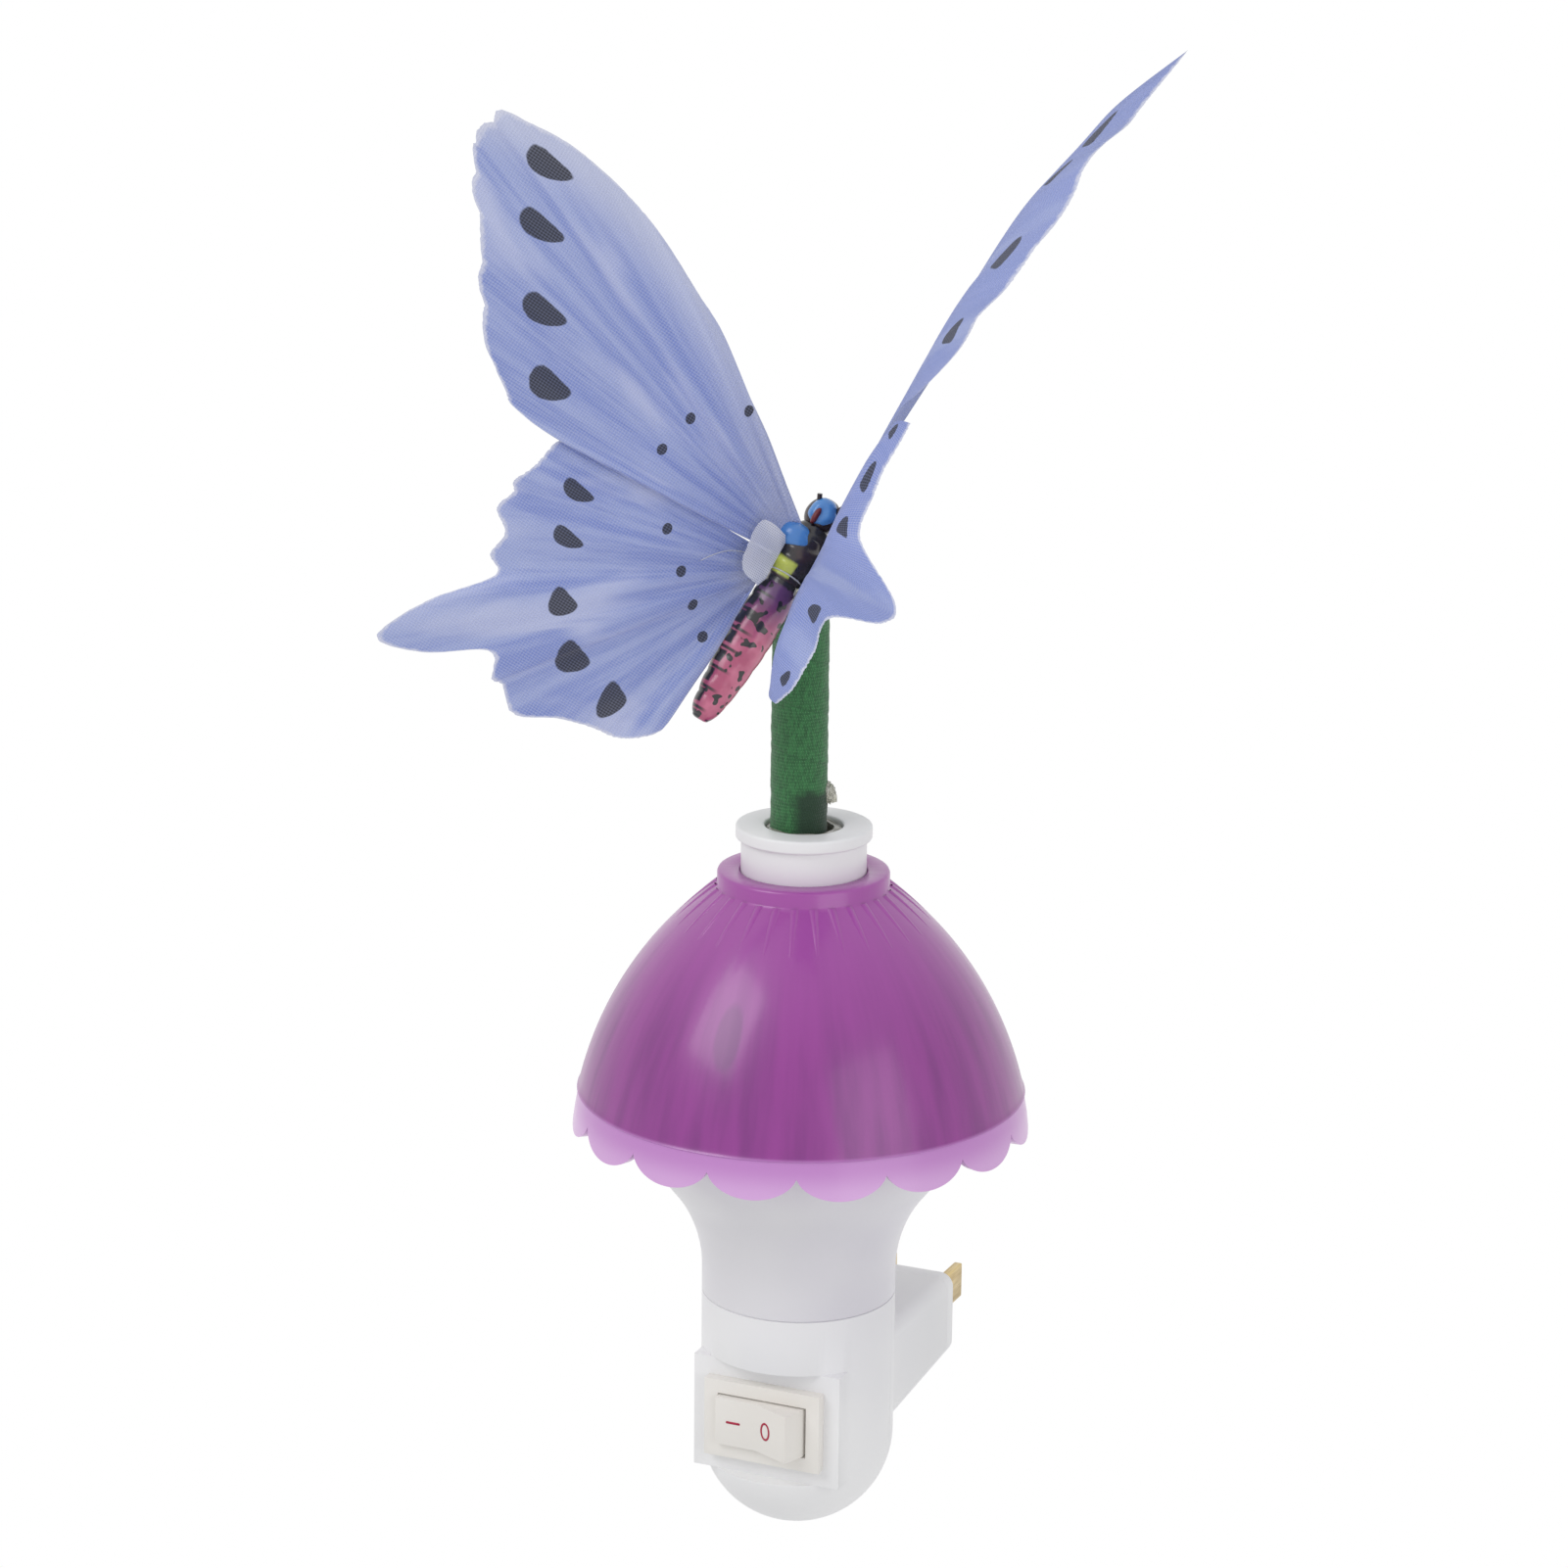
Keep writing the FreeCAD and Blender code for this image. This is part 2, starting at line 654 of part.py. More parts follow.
lip_top = "ring_base + ring_high + lip_rise"
collar_corners = [
    ("0", f"{lip_top} - collar_depth"),
    ("collar_radius", f"{lip_top} - collar_depth"),
    ("collar_radius", f"{lip_top} - lip_thick"),
    ("lip_radius", f"{lip_top} - lip_thick"),
    ("lip_radius", lip_top),
    ("socket_radius", lip_top),
    ("socket_radius", f"{lip_top} - socket_depth"),
    ("0", f"{lip_top} - socket_depth"),
]
collar = turned("collar_turned", collar_corners)
place(collar, "0", axis_y, "0")
keep("collar", collar)

stem_foot = f"{lip_top} - socket_depth"
stem_high = f"stem_top - ({lip_top}) + socket_depth"
core = cylinder("core_rod", "core_radius", stem_high, x="stem_shift", y=axis_y, z=stem_foot)
keep("stem_core", core)
wrap_outer = cylinder("wrap_outer", "stem_radius", stem_high, x="stem_shift", y=axis_y, z=stem_foot)
wrap_bore = cylinder("wrap_bore", "core_radius", stem_high, x="stem_shift", y=axis_y, z=stem_foot)
keep("stem_wrap", cut("wrap_finished", wrap_outer, wrap_bore))
glue_outer = cylinder("glue_outer", "socket_radius", "socket_depth - glue_sink", y=axis_y, z=stem_foot)
glue_bore = cylinder("glue_bore", "stem_radius", "2 * socket_depth", x="stem_shift", y=axis_y, z=f"{stem_foot} - 1")
keep("stem_glue", cut("glue_finished", glue_outer, glue_bore))

# Butterfly: its own frame has the body along +X, the wing's reach along +Y and the face along +Z

PERCH = Vector(value_of("perch_side"), -value_of("axis_reach + perch_front"), value_of("perch_level"))
BODY_WAY = Vector(0.378, 0.412, 0.829)
LEFT_REACH = Vector(-0.841, -0.220, 0.493)


def frame_of(way, reach, origin):
    """Placement whose X runs along the way and whose Y reaches out square to it."""
    way = Vector(way).normalize()
    face = way.cross(reach).normalize()
    out = face.cross(way)
    matrix = Matrix(way.x, out.x, face.x, origin.x, way.y, out.y, face.y, origin.y,
                    way.z, out.z, face.z, origin.z, 0, 0, 0, 1)
    return Placement(matrix)


body_frame = frame_of(BODY_WAY, LEFT_REACH, PERCH)
body_radius = value_of("body_radius")


def spun(stations):
    """Solid of revolution about X through (x, radius) stations, pointed at both ends."""
    curve = Part.BSplineCurve()
    curve.interpolate([Vector(x, 0, radius) for x, radius in stations])
    first = Vector(stations[0][0], 0, 0)
    last = Vector(stations[-1][0], 0, 0)
    edges = [curve.toShape(), Part.LineSegment(Vector(stations[-1][0], 0, stations[-1][1]), last).toShape(),
             Part.LineSegment(last, first).toShape(),
             Part.LineSegment(first, Vector(stations[0][0], 0, stations[0][1])).toShape()]
    return Part.Face(Part.Wire(edges)).revolve(Vector(), Vector(1, 0, 0), 360)


start = -value_of("abdomen_start")
tail = start - value_of("abdomen_length")
abdomen = spun([(tail, 0.6), (tail + 4, 0.7 * body_radius), (tail + 12, body_radius),
                (start - 4, 0.95 * body_radius), (start, 0.75 * body_radius)])
front = start + value_of("thorax_length")
thorax = spun([(start, 0.75 * body_radius), (start + 2.5, 1.02 * body_radius),
               (front - 2.5, body_radius), (front, 0.7 * body_radius)])
head_radius = value_of("head_radius")
head_centre = front + 0.8 * head_radius
head = Part.makeSphere(head_radius, Vector(head_centre, 0, 0)).cut(thorax)
eye_radius = value_of("eye_radius")
feeler = Part.makeCylinder(value_of("feeler_radius"), value_of("feeler_length") + head_radius,
                           Vector(head_centre, 0, 0), Vector(1, 0.5, 0.4))
feelers = feeler.fuse(feeler.mirror(Vector(), Vector(0, 1, 0))).cut(head).cut(thorax)
eyes = Part.makeSphere(eye_radius, Vector(head_centre - 0.3, 0.2, head_radius))
eyes = eyes.fuse(Part.makeSphere(eye_radius, Vector(head_centre - 5.6, 0.4, body_radius)))
eyes = eyes.cut(head).cut(thorax)
for node, shape in (("butterfly_abdomen", abdomen), ("butterfly_thorax", thorax),
                    ("butterfly_head", head), ("butterfly_feelers", feelers), ("butterfly_eyes", eyes)):
    solid(node, shape).Placement = body_frame

body_solids = [abdomen, thorax, head, feelers, eyes]


def clear_of_body(shape, *others):
    for other in body_solids + list(others):
        shape = shape.cut(other)
    return shape


tie = Part.makeTorus(0.75 * body_radius + value_of("tie_radius"), value_of("tie_radius"),
                     Vector(start, 0, 0), Vector(1, 0, 0))
tie = tie.cut(abdomen).cut(thorax)
solid("tie_thread", tie).Placement = body_frame

# Left wings: flat cloth tilted towards the front, outlines as (along the body, out from it)

FORE_OUTLINE = [(4, 2), (6.5, 8), (13, 16), (23, 32.5), (29.5, 49), (33, 63.5), (33.5, 73), (32, 82), (26, 84.5),
                (23, 82.5), (19, 80), (15, 76), (9.5, 72.5), (5.5, 69), (0, 64.5), (-3.5, 59), (-5.5, 46), (-1.5, 2)]
HIND_OUTLINE = [(-2.5, 2), (-3, 43), (-9, 47), (-14.5, 49.5), (-19.5, 49.5), (-26, 46), (-28.5, 43.5),
                (-37.5, 51.5), (-46, 55.5), (-44.5, 47.5), (-39, 38), (-42.5, 33), (-45.5, 28), (-41, 15),
                (-39, 8), (-35.5, 4.5), (-29, 3.8), (-12, 3.8), (-8, 2)]
GAUZE_OUTLINE = [(-1, 3), (6.5, 3.5), (9.5, 10), (4, 12), (-0.5, 9.5)]
wing_thick = value_of("wing_thick")
tilt = Placement(Vector(), Rotation(Vector(1, 0, 0), value_of("wing_tilt")))


def flat_wing(node, outline, thick, lift, *others):
    """Sheet of the outline, its middle lifted from the tilted plane through the body."""
    spots = [Vector(x, y, lift - thick / 2) for x, y in outline]
    sheet_face = Part.Face(Part.makePolygon(spots + spots[:1]))
    cloth = sheet_face.extrude(Vector(0, 0, thick))
    cloth.Placement = tilt
    solid(node, clear_of_body(cloth, *others)).Placement = body_frame


flat_wing("left_forewing", FORE_OUTLINE, wing_thick, 0, tie)
flat_wing("left_hindwing", HIND_OUTLINE, wing_thick, -2 * wing_thick, tie)
gauze_thick = value_of("gauze_thick")
flat_wing("wing_gauze", GAUZE_OUTLINE, gauze_thick, (wing_thick + gauze_thick) / 2)

# Right wings: ribs that rise to a ridge and fall to the margin, as (along, out, ahead of the body)

FORE_RIDGE = [(83.5, -5, 14), (71.5, -2.5, 20), (60.5, -1.5, 26), (47.5, -1, 32), (35.5, -1.5, 36), (25.5, -2, 36)]
FORE_MARGIN = [(97.5, -11, 18), (82, -9, 22), (66.5, -7, 30), (49, -6.5, 38), (36.5, -5, 42), (27, -3, 42)]
HIND_RIDGE = [(24, -2, 34), (20, -2, 34), (10, -2.5, 33), (3.5, -3, 32), (-0.5, -3.5, 31.5), (-2.5, -3.5, 30.5),
              (-5, -3.5, 29.5), (-12.5, -4.5, 26), (-18.5, -5.5, 24), (-23, -7.5, 22)]
HIND_MARGIN = [(24, -4.5, 38), (17.5, -5, 37), (11.5, -5.5, 36), (5, -7.5, 36), (-1, -17, 46), (-4.5, -17, 44),
               (-7.5, -9.5, 34), (-13, -10, 30), (-19.5, -10, 27), (-23, -9, 23)]
FORE_ROOTS = (Vector(5, -2.2, 1), Vector(1, -2.2, 1))
HIND_ROOTS = (Vector(0, -2.2, 0.5), Vector(-6.5, -2.2, 0.5))
SHEET_WAY = Vector(0, 0.75, 0.66)


def ribbed_wing(node, roots, ridge, margin):
    """Thin closed sheet through the ribs, its back set off from its front."""
    count = len(ridge)
    front = []
    for index, (high, low) in enumerate(zip(ridge, margin)):
        root = roots[0] + (roots[1] - roots[0]) * (index / (count - 1))
        front += [root, Vector(*high), Vector(*low)]
    back = [spot - SHEET_WAY * wing_thick for spot in front]
    size = len(front)
    facets = []
    for rib in range(count - 1):
        for rail in range(2):
            here = 3 * rib + rail
            ahead_of = here + 3
            for a, b, c in ((here, here + 1, ahead_of + 1), (here, ahead_of + 1, ahead_of)):
                facets.append((a, b, c))
                facets.append((c + size, b + size, a + size))
    rim = [3 * rib for rib in range(count)]
    rim += [3 * count - 2]
    rim += [3 * rib + 2 for rib in reversed(range(count))]
    rim += [1]
    for a, b in zip(rim, rim[1:] + rim[:1]):
        facets.append((a, b, b + size))
        facets.append((a, b + size, a + size))
    shell = Part.Shape()
    shell.makeShapeFromMesh((front + back, facets), 0.001)
    cloth = Part.makeSolid(shell)
    if cloth.Volume < 0:
        cloth.reverse()
    solid(node, clear_of_body(cloth, tie)).Placement = body_frame


ribbed_wing("right_forewing", FORE_ROOTS, FORE_RIDGE, FORE_MARGIN)
ribbed_wing("right_hindwing", HIND_ROOTS, HIND_RIDGE, HIND_MARGIN)

# Glue that holds the thorax to the top of the stem

doc.recompute()
blob = Part.makeSphere(value_of("perch_blob"), Vector(0.3, -value_of("axis_reach") - 3.7, value_of("stem_top") + 1.8))
for held in ("stem_core", "stem_wrap", "butterfly_thorax", "butterfly_abdomen", "tie_thread",
             "left_forewing", "left_hindwing", "right_forewing", "right_hindwing"):
    blob = blob.cut(parts[held].Shape)
solid("perch_glue", blob)

doc.recompute()
for item in doc.Objects:
    if "Invalid" in item.State or "Error" in item.State:
        raise RuntimeError(f"{item.Name} failed: {item.State}")
for node, piece in parts.items():
    if piece.Shape.isNull() or not piece.Shape.isValid():
        raise RuntimeError(f"{node} has no valid shape")

os.makedirs("parts", exist_ok=True)
for node, piece in parts.items():
    piece.Shape.exportStep(f"parts/{node}.step")
    box_of = piece.Shape.BoundBox
    print(f"{node}: {len(piece.Shape.Solids)} solid, {piece.Shape.Volume:.1f} mm3, "
          f"x {box_of.XMin:.1f}..{box_of.XMax:.1f} y {box_of.YMin:.1f}..{box_of.YMax:.1f} "
          f"z {box_of.ZMin:.1f}..{box_of.ZMax:.1f}")
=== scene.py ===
import bmesh
import bpy
import math
from mathutils import Matrix, Vector, noise


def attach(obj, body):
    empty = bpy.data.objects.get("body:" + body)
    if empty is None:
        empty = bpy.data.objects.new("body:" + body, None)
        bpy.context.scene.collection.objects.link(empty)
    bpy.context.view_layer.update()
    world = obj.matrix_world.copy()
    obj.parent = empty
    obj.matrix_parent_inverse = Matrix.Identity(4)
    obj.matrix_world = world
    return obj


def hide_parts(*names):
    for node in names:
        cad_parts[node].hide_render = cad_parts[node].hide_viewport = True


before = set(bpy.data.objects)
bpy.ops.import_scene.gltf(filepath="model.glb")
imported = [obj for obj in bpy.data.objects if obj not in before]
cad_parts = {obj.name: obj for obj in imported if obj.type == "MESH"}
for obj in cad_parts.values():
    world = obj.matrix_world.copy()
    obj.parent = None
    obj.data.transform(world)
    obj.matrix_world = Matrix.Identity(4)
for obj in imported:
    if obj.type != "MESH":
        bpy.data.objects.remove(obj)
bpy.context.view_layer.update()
mm = 0.001
axisY = -42.5    # line through the shade, cup and base
tiny = 0.001     # nearer than this counts as on the line


def paint(red, green, blue):
    # a colour as seen on screen, 0 to 255, turned to the linear values that shaders take
    turned = []
    for shade in (red, green, blue):
        level = shade / 255
        turned.append(level / 12.92 if level <= 0.04045 else ((level + 0.055) / 1.055) ** 2.4)
    return tuple(turned) + (1.0,)


def feed(tree, value, socket):
    # a socket takes a link from a signal or another socket, or else a plain value
    if isinstance(value, Signal):
        value = value.socket
    if isinstance(value, bpy.types.NodeSocket):
        tree.links.new(value, socket)
    else:
        socket.default_value = value


def nodeIn(tree, kind, inputs=None, **settings):
    node = tree.nodes.new(kind)
    for label, value in settings.items():
        setattr(node, label, value)
    for label, value in (inputs or {}).items():
        feed(tree, value, node.inputs[label])
    return node


class Signal:
    # a socket in a finish's tree that can be used like a number

    def __init__(self, finish, socket):
        self.finish = finish
        self.socket = socket

    def calc(self, operation, *others):
        return self.finish.made("ShaderNodeMath", dict(enumerate((self,) + others)), operation=operation)

    def __add__(self, other):
        return self.calc("ADD", other)

    def __sub__(self, other):
        return self.calc("SUBTRACT", other)

    def __mul__(self, other):
        return self.calc("MULTIPLY", other)

    def __truediv__(self, other):
        return self.calc("DIVIDE", other)

    def ramp(self, low, high):
        # 0 below low, 1 above high, smooth between
        return self.finish.made("ShaderNodeMapRange", {"Value": self, "From Min": low, "From Max": high},
                                "Result", interpolation_type="SMOOTHSTEP")


class Finish:

    def __init__(self, name, colour, roughness, settings=None):
        self.material = bpy.data.materials.new(name)
        self.material.use_nodes = True
        self.tree = self.material.node_tree
        self.shader = [node for node in self.tree.nodes if node.type == "BSDF_PRINCIPLED"][0]
        self.shader.inputs["Base Color"].default_value = colour
        self.shader.inputs["Roughness"].default_value = roughness
        for label, value in (settings or {}).items():
            self.shader.inputs[label].default_value = value

    def made(self, kind, inputs=None, output=0, **settings):
        return Signal(self, nodeIn(self.tree, kind, inputs, **settings).outputs[output])

    def place(self):
        return self.made("ShaderNodeTexCoord", output="Object")

    def flat(self):
        return self.made("ShaderNodeUVMap", output="UV", uv_map="flat")

    def attribute(self, name):
        return self.made("ShaderNodeAttribute", output="Fac", attribute_name=name)

    def split(self, vector):
        parts = nodeIn(self.tree, "ShaderNodeSeparateXYZ", {0: vector}).outputs
        return [Signal(self, socket) for socket in parts]

    def join(self, x, y, z):
        return self.made("ShaderNodeCombineXYZ", {0: x, 1: y, 2: z})

    def cloud(self, scale, vector=None, detail=2.0, roughness=0.5):
        return self.made("ShaderNodeTexNoise", {"Vector": vector or self.place(), "Scale": scale,
                                                "Detail": detail, "Roughness": roughness})

    def stripes(self, value, pitch):
        # 0 to 1 and back once in each pitch
        return (value * (2 * math.pi / pitch)).calc("SINE") * 0.5 + 0.5

    def blend(self, factor, first, second):
        return self.made("ShaderNodeMix", {0: factor, 6: first, 7: second}, 2, data_type="RGBA")

    def tint(self, colour):
        feed(self.tree, colour, self.shader.inputs["Base Color"])
        return self

    def rough(self, low, high, signal):
        feed(self.tree, signal * (high - low) + low, self.shader.inputs["Roughness"])
        return self

    def relief(self, height, distance, strength=1.0):
        bump = self.made("ShaderNodeBump", {"Height": height, "Strength": strength, "Distance": distance})
        feed(self.tree, bump, self.shader.inputs["Normal"])
        return self


def linked(name, data):
    # an object in the scene that shows a mesh, a curve, a lamp or the camera
    shown = bpy.data.objects.new(name, data)
    bpy.context.scene.collection.objects.link(shown)
    return shown


def smooth(mesh):
    for face in mesh.polygons:
        face.use_smooth = True


def turns(count):
    # equal steps once round
    return [2 * math.pi * step / count for step in range(count)]


def moulded(name, colour, shaded, roughness=0.36, grain=900, settings=None):
    # moulded plastic: slight clouding, fine grain and uneven gloss
    finish = Finish(name, colour, roughness, settings or {"Specular IOR Level": 0.45})
    finish.tint(finish.blend(finish.cloud(28).ramp(0.35, 0.7), colour, shaded))
    finish.rough(roughness - 0.06, roughness + 0.1, finish.cloud(140))
    return finish.relief(finish.cloud(grain, detail=3), 0.00004, 0.5)


def metal(name, colour, worn, roughness):
    finish = Finish(name, colour, roughness, {"Metallic": 1.0})
    x, y, z = finish.split(finish.place())
    brushed = finish.cloud(1.0, finish.join(x * 1500, y * 160, z * 1500), detail=3)
    finish.tint(finish.blend(brushed.ramp(0.3, 0.75), colour, worn))
    finish.rough(roughness - 0.08, roughness + 0.12, brushed)
    return finish.relief(brushed, 0.00003, 0.5)


def layOut(points, faces, name, finish, body="lamp", flatMap=None, values=None):
    # a piece from points in millimetres, with its own map and named values where it has them
    mesh = bpy.data.meshes.new(name)
    mesh.from_pydata([tuple(value * mm for value in point) for point in points], [], faces)
    if flatMap:
        layer = mesh.uv_layers.new(name="flat")
        for loop in mesh.loops:
            layer.data[loop.index].uv = flatMap[loop.vertex_index]
    for label, column in (values or {}).items():
        holder = mesh.attributes.new(label, "FLOAT", "POINT")
        holder.data.foreach_set("value", column)
    smooth(mesh)
    mesh.update()
    piece = linked(name, mesh)
    mesh.materials.append(finish.material)
    if body:
        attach(piece, body)
    return piece


def gridFaces(rows, columns, closed=False):
    # four-cornered faces between rows of points, joined round where closed
    faces = []
    for row in range(rows - 1):
        for step in range(columns if closed else columns - 1):
            low = row * columns
            ahead = (step + 1) % columns
            faces.append((low + step, low + ahead, low + columns + ahead, low + columns + step))
    return faces


def pointOutwards(piece, mergeWithin=0.0):
    work = bmesh.new()
    work.from_mesh(piece.data)
    if mergeWithin:
        bmesh.ops.remove_doubles(work, verts=work.verts, dist=mergeWithin)
    bmesh.ops.recalc_face_normals(work, faces=work.faces)
    work.to_mesh(piece.data)
    work.free()
    return piece


def shownMesh(piece):
    # what a piece's modifiers, or its curve, make of it
    bpy.context.view_layer.update()
    return bpy.data.meshes.new_from_object(piece.evaluated_get(bpy.context.evaluated_depsgraph_get()))


def settle(piece):
    finished = shownMesh(piece)
    piece.modifiers.clear()
    piece.data = finished


def arcTo(start, end, radius, steps):
    # points after start, up to end, on an arc that bulges to the right of the way
    chord = Vector(end) - Vector(start)
    middle = (Vector(start) + Vector(end)) / 2
    side = Vector((chord.y, -chord.x)).normalized()
    centre = middle - side * math.sqrt(radius ** 2 - chord.length ** 2 / 4) * math.copysign(1, radius)
    first = Vector(start) - centre
    turn = math.atan2(first.cross(Vector(end) - centre), first.dot(Vector(end) - centre))
    made = []
    for step in range(1, steps + 1):
        angle = turn * step / steps
        made.append((centre.x + first.x * math.cos(angle) - first.y * math.sin(angle),
                     centre.y + first.x * math.sin(angle) + first.y * math.cos(angle)))
    return made


def eased(corners, radius, steps=4):
    # a closed outline with each corner rounded off
    made = []
    count = len(corners)
    for index, corner in enumerate(corners):
        here = Vector(corner)
        before = Vector(corners[index - 1]) - here
        after = Vector(corners[(index + 1) % count]) - here
        if here.x < tiny:
            made.append((0.0, here.y))
            continue
        reach = min(radius, before.length * 0.45, after.length * 0.45)
        start = here + before.normalized() * reach
        end = here + after.normalized() * reach
        for step in range(steps + 1):
            part = step / steps
            spot = start * (1 - part) ** 2 + here * 2 * part * (1 - part) + end * part ** 2
            made.append((spot.x, spot.y))
    return made


def spin(name, outline, finish, steps=160, shape=None):
    # a closed outline of (radius, height) turned about the upright line; shape may move its points
    points = []
    rows = []
    for radius, height in outline:
        if radius < tiny:
            rows.append([len(points)] * steps)
            points.append((0.0, axisY, height))
            continue
        row = []
        for angle in turns(steps):
            wide, high = shape(radius, height, angle) if shape else (radius, height)
            row.append(len(points))
            points.append((wide * math.cos(angle), axisY + wide * math.sin(angle), high))
        rows.append(row)
    faces = []
    for index, row in enumerate(rows):
        after = rows[(index + 1) % len(rows)]
        for step in range(steps):
            ahead = (step + 1) % steps
            corners = []
            for corner in (row[step], row[ahead], after[ahead], after[step]):
                if corner not in corners:
                    corners.append(corner)
            if len(corners) > 2:
                faces.append(corners)
    return pointOutwards(layOut(points, faces, name, finish))


def softened(node, finish, edge=0.25, body="lamp"):
    # the solid's own shape with its loose triangles joined and its edges eased
    mesh = bpy.data.objects[node].data.copy()
    piece = linked(node + "_look", mesh)
    work = bmesh.new()
    work.from_mesh(mesh)
    bmesh.ops.remove_doubles(work, verts=work.verts, dist=0.000002)
    bmesh.ops.dissolve_limit(work, angle_limit=math.radians(1.5), verts=work.verts, edges=work.edges)
    bmesh.ops.triangulate(work, faces=[face for face in work.faces if len(face.verts) > 4])
    work.to_mesh(mesh)
    work.free()
    if edge:
        ease = piece.modifiers.new("ease", "BEVEL")
        ease.width = edge * mm
        ease.segments = 2
        ease.limit_method = "ANGLE"
        ease.angle_limit = math.radians(40)
        ease.use_clamp_overlap = True
        settle(piece)
    piece.data.materials.clear()
    piece.data.materials.append(finish.material)
    smooth(piece.data)
    piece.data.set_sharp_from_angle(angle=math.radians(32))
    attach(piece, body)
    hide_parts(node)


def through(points, part):
    # a smooth curve through points, at a part of its way from 0 to 1
    place = part * (len(points) - 1)
    index = min(int(place), len(points) - 2)
    local = place - index
    spots = [Vector(points[min(max(index + shift, 0), len(points) - 1)]) for shift in (-1, 0, 1, 2)]
    first, here, ahead, last = spots
    return 0.5 * (2 * here + (ahead - first) * local
                  + (2 * first - 5 * here + 4 * ahead - last) * local ** 2
                  + (3 * here - first - 3 * ahead + last) * local ** 3)


print("stage: tools ready")

# Plastics, metals and the hidden parts' finishes

whitePlastic = moulded("white_plastic", paint(240, 240, 241), paint(233, 233, 236))
creamPlastic = moulded("switch_cream", paint(237, 234, 229), paint(231, 227, 221), 0.42)
crimsonInk = moulded("crimson_ink", paint(178, 28, 66), paint(160, 22, 56), 0.4)
bladeBrass = metal("blade_brass", paint(214, 190, 132), paint(186, 160, 104), 0.3)
contactBrass = metal("contact_brass", paint(200, 172, 112), paint(170, 142, 88), 0.38)
screwSteel = metal("screw_steel", paint(176, 176, 180), paint(140, 140, 146), 0.34)
leadRubber = moulded("lead_sleeve", paint(36, 36, 40), paint(26, 26, 30), 0.6)
boardGreen = moulded("board_green", paint(38, 104, 58), paint(28, 84, 46), 0.5)
orangeCase = moulded("board_parts", paint(196, 118, 44), paint(176, 98, 34), 0.4)
blackCase = moulded("part_black", paint(38, 38, 42), paint(28, 28, 31), 0.45)
ledLens = moulded("led_lens", paint(238, 238, 242), paint(226, 228, 236), 0.14,
                  settings={"Transmission Weight": 0.55, "IOR": 1.5})
rodPlastic = moulded("stem_rod", paint(60, 92, 62), paint(46, 74, 50), 0.5)

cupPlastic = Finish("cup_plastic", paint(226, 224, 230), 0.34, {"Coat Weight": 0.15, "Coat Roughness": 0.2})
cupHeight = cupPlastic.split(cupPlastic.place())[2]
# painted light: the white cup turns lavender towards its rim, standing in for purple light from the shade
# above
paintedPurpleSpill = cupPlastic.blend(cupHeight.ramp(0.040, 0.054), paint(228, 227, 231), paint(221, 212, 226))
cupPlastic.tint(cupPlastic.blend(cupPlastic.cloud(26).ramp(0.4, 0.75), paintedPurpleSpill, paint(216, 214, 222)))
cupPlastic.rough(0.28, 0.42, cupPlastic.cloud(120))
cupPlastic.relief(cupPlastic.cloud(700, detail=3), 0.00004, 0.5)

# painted shade and light: the dome's deep purples stand in for its closed, shaded inside seen through the
# wall, and the hem's paler purples stand in for light passing through its single wall
shadeLook = {
    "hemLine": 0.0546,       # where the pale hem meets the dome
    "dome": paint(146, 48, 144),
    "domeDeep": paint(124, 36, 126),
    "shoulder": paint(162, 72, 161),
    "hem": paint(194, 132, 202),
    "hemEdge": paint(214, 166, 221),
    # painted shadow: centre of a soft dark oval that stands in for the shadow of a part inside seen through
    # the wall
    "innerShadowSpot": (0.0002, -0.0739, 0.072),
}
shadePlastic = Finish("shade_plastic", shadeLook["dome"], 0.3, {"Coat Weight": 0.35, "Coat Roughness": 0.14})
shadeX, shadeY, shadeZ = shadePlastic.split(shadePlastic.place())
aroundShade = (shadeY - axisY * mm).calc("ARCTAN2", shadeX)
flow = shadePlastic.cloud(1.0, shadePlastic.join(aroundShade * 9, shadeZ * 34, 0.0), detail=3)
# painted shade: the dome's deep purples, with flow streaks, growing lighter towards the ring
shadedDomeTone = shadePlastic.blend(flow.ramp(0.3, 0.75), shadeLook["dome"], shadeLook["domeDeep"])
shadedDomeTone = shadePlastic.blend(shadeZ.ramp(0.066, 0.092), shadedDomeTone, shadeLook["shoulder"])
# painted light: the hem's paler purples, palest at its lower edge
backlitHemTone = shadePlastic.blend(shadeZ.ramp(0.0485, 0.0535), shadeLook["hemEdge"], shadeLook["hem"])
aboveHem = shadeZ.ramp(shadeLook["hemLine"] - 0.0003, shadeLook["hemLine"] + 0.0005)
shadeTone = shadePlastic.blend(aboveHem, backlitHemTone, shadedDomeTone)
# painted shadow: a soft dark oval on the dome's front half, standing in for the shadow of a part inside
# showing through the wall
offX = (shadeX - shadeLook["innerShadowSpot"][0]) / 0.0024
offZ = (shadeZ - shadeLook["innerShadowSpot"][2]) / 0.0052
innerShadowReach = (offX * offX + offZ * offZ).ramp(0.55, 1.15)
onBackHalf = shadeY.calc("GREATER_THAN", axisY * mm)
outsideInnerShadow = innerShadowReach.calc("MAXIMUM", onBackHalf)
shadeTone = shadePlastic.blend((outsideInnerShadow * -1 + 1) * 0.45, shadeTone, paint(96, 34, 104))
shadePlastic.tint(shadeTone)
shadePlastic.rough(0.24, 0.38, flow)
shadePlastic.relief(flow * 0.7 + shadePlastic.cloud(500) * 0.3, 0.0001, 0.4)

# Camera: turned to the object's left front, slightly above it

